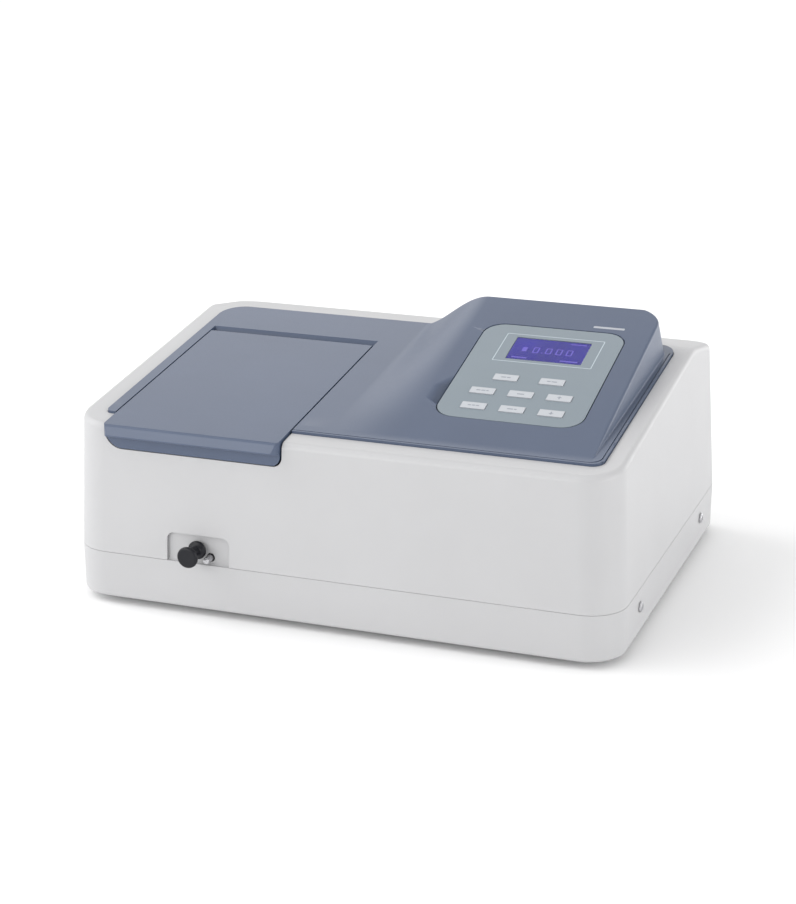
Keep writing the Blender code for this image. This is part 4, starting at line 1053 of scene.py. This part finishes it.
def make_display():
    """Panel with its faint signs under a clear pane."""
    size = (DISPLAY_SIZE[0] - 0.4, DISPLAY_SIZE[1] - 0.4)
    outline = centred(DISPLAY_CENTRE, size, 0.3)
    panel = bevelled(prism("Z", outline, -1.6, -0.9), 0.1, 1)
    soften("display_module", 0.4)
    add_piece("display_panel", panel, MATERIALS["display_indigo"], "casing", into=POD)
    pane = bevelled(prism("Z", outline, -0.6, -0.25), 0.1, 1)
    add_piece(
        "display_pane", pane, MATERIALS["clear_glass"], "casing", ["display_window"], into=POD
    )
    x, y = DISPLAY_CENTRE
    shapes = []
    for offset in DIGIT_OFFSETS:
        shapes += zero((x + offset, y))
    shapes.append(centred((x - 5.0, y - 4.0), (1.2, 1.2)))
    shapes.append(centred((x - 21.0, y), (4.0, 7.0)))
    shapes.append(centred((x - 22.0, y - 14.2), (13.0, 1.6)))
    shapes.append(centred((x + 21.0, y - 14.2), (15.0, 1.6)))
    shapes.append(centred((x + 22.0, y + 15.0), (14.0, 1.3)))
    glyphs = joined(*[prism("Z", shape, -0.9, -0.82) for shape in shapes])
    # The signs are real print; their emission is painted light, a glow in place of the lamp light
    # that the pane blocks.
    faint = ink("display_indigo", "faint_print", (0.09, 0.06, 0.40))
    shader = faint.node_tree.nodes["Principled BSDF"]
    shader.inputs["Emission Color"].default_value = (0.30, 0.24, 0.8, 1.0)
    shader.inputs["Emission Strength"].default_value = 0.32
    shader.inputs["Specular IOR Level"].default_value = 0.15
    add_piece("display_digits", glyphs, faint, "casing", into=POD)


def key_sign(index):
    """Outlines of a small plain sign: a row of bars, or an arrow on the fifth and the last key."""

    def bars(*widths):
        gap = 0.8
        left = -(sum(widths) + gap * (len(widths) - 1)) / 2
        shapes = []
        for width in widths:
            shapes.append(centred((left + width / 2, 0.0), (width, SIGN_HEIGHT)))
            left += width + gap
        return shapes

    def arrow(up):
        tip = [Vector((-2.2, 0.2 * up)), Vector((2.2, 0.2 * up)), Vector((0.0, 2.4 * up))]
        return [tip, centred((0.0, -0.9 * up), (1.2, 2.2))]

    rows = ((4.2, 3.0), (3.0, 4.6), (3.4, 3.4, 2.0), (6.0,), (), (2.6, 2.6, 2.6), (5.0, 2.2), ())
    if rows[index]:
        return bars(*rows[index])
    return arrow(1 if index == 4 else -1)


def make_keys():
    print_grey = ink("key_white", "key_print", (0.27, 0.29, 0.33))
    for index, (name, place, top) in enumerate(key_places()):
        soften(name, 0.3)
        body = body_of(name)
        shapes = [
            [Vector((u + place[0], v + place[1])) for u, v in shape] for shape in key_sign(index)
        ]
        sign = joined(*[prism("Z", shape, top - 0.03, top + 0.03) for shape in shapes])
        add_piece(f"{name}_sign", sign, print_grey, body, into=POD)


def make_label():
    """Blank name plate at the pod's rear."""
    plate = bevelled(prism("Z", centred(LABEL_CENTRE, (27.0, 3.2), 0.5), -0.2, 0.15), 0.1, 1)
    silver = metal("zinc_plated_steel", (0.55, 0.57, 0.62), 0.35, (1.0, 0.1, 1.0))
    add_piece("name_plate", plate, silver, "casing", into=POD)


# ---------------------------------------------------------------- knob, screws and the rest


def body_of(node):
    return frame["nodes"][node].parent.name.removeprefix("body:")


def soften(node, width):
    """A copy of a CAD node with rounded edges, in its place."""
    mesh = frame["nodes"][node].data.copy()
    mesh.transform(CASING.inverted())
    work = bmesh.new()
    work.from_mesh(mesh)
    bmesh.ops.remove_doubles(work, verts=work.verts, dist=MERGE_DISTANCE)
    work.to_mesh(mesh)
    work.free()
    mesh = bevelled(mesh, width, 2, 40.0)
    add_piece(f"{node}_finish", mesh, MATERIALS[SLOTS[node]], body_of(node), [node])


def make_knob():
    low, high = span("pull_knob")
    centre = ((low.x + high.x) / 2, (low.z + high.z) / 2)
    front = low.y
    profile = (
        (0.0, front + 0.25),
        (5.6, front + 0.2),
        (6.6, front),
        (7.6, front + 0.15),
        (8.4, front + 0.6),
        (8.85, front + 1.3),
        (9.0, front + 2.1),
        (8.85, front + 2.9),
        (8.3, front + 3.7),
        (7.0, front + 4.4),
        (5.4, front + 5.1),
        (4.5, front + 6.3),
        (4.15, front + 8.0),
        (4.1, front + 12.5),
        (4.15, high.y - 6.2),
        (4.4, high.y - 5.0),
        (5.2, high.y - 4.1),
        (6.9, high.y - 3.5),
        (7.5, high.y - 3.0),
        (7.8, high.y - 2.2),
        (7.8, high.y - 1.3),
        (7.5, high.y - 0.5),
        (6.9, high.y),
        (3.3, high.y),
        (3.3, high.y - 8.5),
        (0.0, high.y - 8.5),
    )
    spot = (centre[0], 0.0, centre[1])
    knob = lathe(profile, "Y", spot, 64)
    add_piece(
        "knob_finish", knob, MATERIALS["black_plastic"], "changer", ["pull_knob"], crease=60.0
    )


def make_guide_rod():
    low, high = span("guide_rod")
    radius = (high.x - low.x) / 2
    spot = ((low.x + high.x) / 2, 0.0, (low.z + high.z) / 2)
    profile = (
        (0.0, low.y),
        (radius - 0.9, low.y),
        (radius - 0.3, low.y + 0.25),
        (radius, low.y + 0.9),
        (radius, high.y - 0.6),
        (radius - 0.6, high.y),
        (0.0, high.y),
    )
    rod = lathe(profile, "Y", spot, 40)
    steel = MATERIALS[SLOTS["guide_rod"]]
    add_piece("guide_rod_finish", rod, steel, body_of("guide_rod"), ["guide_rod"], crease=60.0)


SOFT_EDGES = {
    "rear_panel": 0.4,
    "mains_inlet": 0.5,
    "fuse_holder": 0.5,
    "data_port": 0.3,
    "switch_bezel": 0.6,
    "power_rocker": 0.6,
    "fan_frame": 0.6,
    "fan_rotor": 0.25,
    "sample_well": 0.5,
    "cell_carriage": 0.4,
    "rod_bushing": 0.3,
    "pull_rod": 0.3,
    "hinge_pin": 0.3,
    "side_screw_front_left": 0.5,
    "side_screw_front_right": 0.5,
    "side_screw_rear_left": 0.5,
    "side_screw_rear_right": 0.5,
    "foot_front_left": 0.8,
    "foot_front_right": 0.8,
    "foot_rear_left": 0.8,
    "foot_rear_right": 0.8,
    "optical_bench": 1.0,
    "mono_housing": 1.2,
    "mono_cover": 0.6,
    "entrance_slit": 0.1,
    "exit_slit": 0.1,
    "fold_mirror": 0.4,
    "collimating_mirror": 0.4,
    "focusing_mirror": 0.4,
    "grating_motor": 0.8,
    "grating_table": 0.4,
    "grating": 0.3,
    "lamp_house": 1.0,
    "tungsten_lamp": 0.3,
    "condenser_lens": 0.2,
    "filter_motor": 0.6,
    "filter_wheel": 0.3,
    "beam_lens": 0.2,
    "detector_housing": 0.8,
    "photodiode": 0.3,
    "power_supply": 1.0,
    "main_board": 0.2,
    "keypad_board": 0.2,
}


# ---------------------------------------------------------------- light, floor and camera


LIGHT_TARGET = Vector((0.0, 0.0, 0.15))
CAMERA_LENS = 86.0
CAMERA_TURN = math.radians(19.93)
CAMERA_TILT = math.radians(18.11)
CAMERA_PLACE = Vector((598.0, -1494.9, 675.6))


def make_floor():
    bpy.ops.mesh.primitive_plane_add(size=30.0, location=(0.0, 0.0, 0.0))
    floor = bpy.context.object
    floor.name = "floor"
    material = surface("floor", (0.94, 0.94, 0.94), 0.7)
    rough(material, noise(material, 200.0), 0.65, 0.75)
    floor.data.materials.append(material)


def add_sun(name, direction, strength, angle):
    """Soft light from far away, coming from a direction."""
    data = bpy.data.lights.new(name, "SUN")
    data.energy = strength
    data.angle = math.radians(angle)
    light = bpy.data.objects.new(name, data)
    bpy.context.scene.collection.objects.link(light)
    light.rotation_euler = Vector(direction).to_track_quat("Z", "Y").to_euler()


def add_panel(name, location, size, power):
    """Soft light from a rectangle that faces the casing."""
    data = bpy.data.lights.new(name, "AREA")
    data.shape = "RECTANGLE"
    data.size, data.size_y = size
    data.energy = power
    light = bpy.data.objects.new(name, data)
    bpy.context.scene.collection.objects.link(light)
    light.location = location
    aim = LIGHT_TARGET - light.location
    light.rotation_euler = aim.to_track_quat("-Z", "Y").to_euler()


def make_lights():
    add_sun("key", (-0.74, -0.10, 0.55), 1.75, 60.0)
    add_sun("fill", (0.97, -0.02, 0.16), 1.8, 50.0)
    add_panel("front_left", (-0.85, -1.95, 0.75), (1.2, 0.8), 13.0)
    add_panel("rear_left", (-0.7, 1.9, 1.15), (2.0, 0.9), 6.0)
    add_panel("rear_right", (1.2, 2.0, 0.4), (1.0, 0.7), 6.0)
    world = bpy.data.worlds.new("studio")
    world.use_nodes = True
    background = world.node_tree.nodes["Background"]
    background.inputs["Color"].default_value = (1.0, 1.0, 1.0, 1.0)
    background.inputs["Strength"].default_value = 0.72
    bpy.context.scene.world = world
    bpy.context.scene.view_settings.view_transform = "Standard"


def make_camera():
    """The camera of the reference view: about 20 degrees to the right and 18 above."""
    data = bpy.data.cameras.new("camera")
    data.lens = CAMERA_LENS
    data.sensor_width = 36.0
    camera = bpy.data.objects.new("camera", data)
    bpy.context.scene.collection.objects.link(camera)
    camera.location = CASING @ CAMERA_PLACE
    camera.rotation_euler = (math.pi / 2 - CAMERA_TILT, 0.0, CAMERA_TURN)
    bpy.context.scene.camera = camera


make_upper_housing()
make_base()
make_deck()
make_lid()
make_overlay()
make_display()
make_keys()
make_label()
make_knob()
make_guide_rod()
for node_name, edge_width in SOFT_EDGES.items():
    soften(node_name, edge_width)
make_floor()
make_lights()
make_camera()
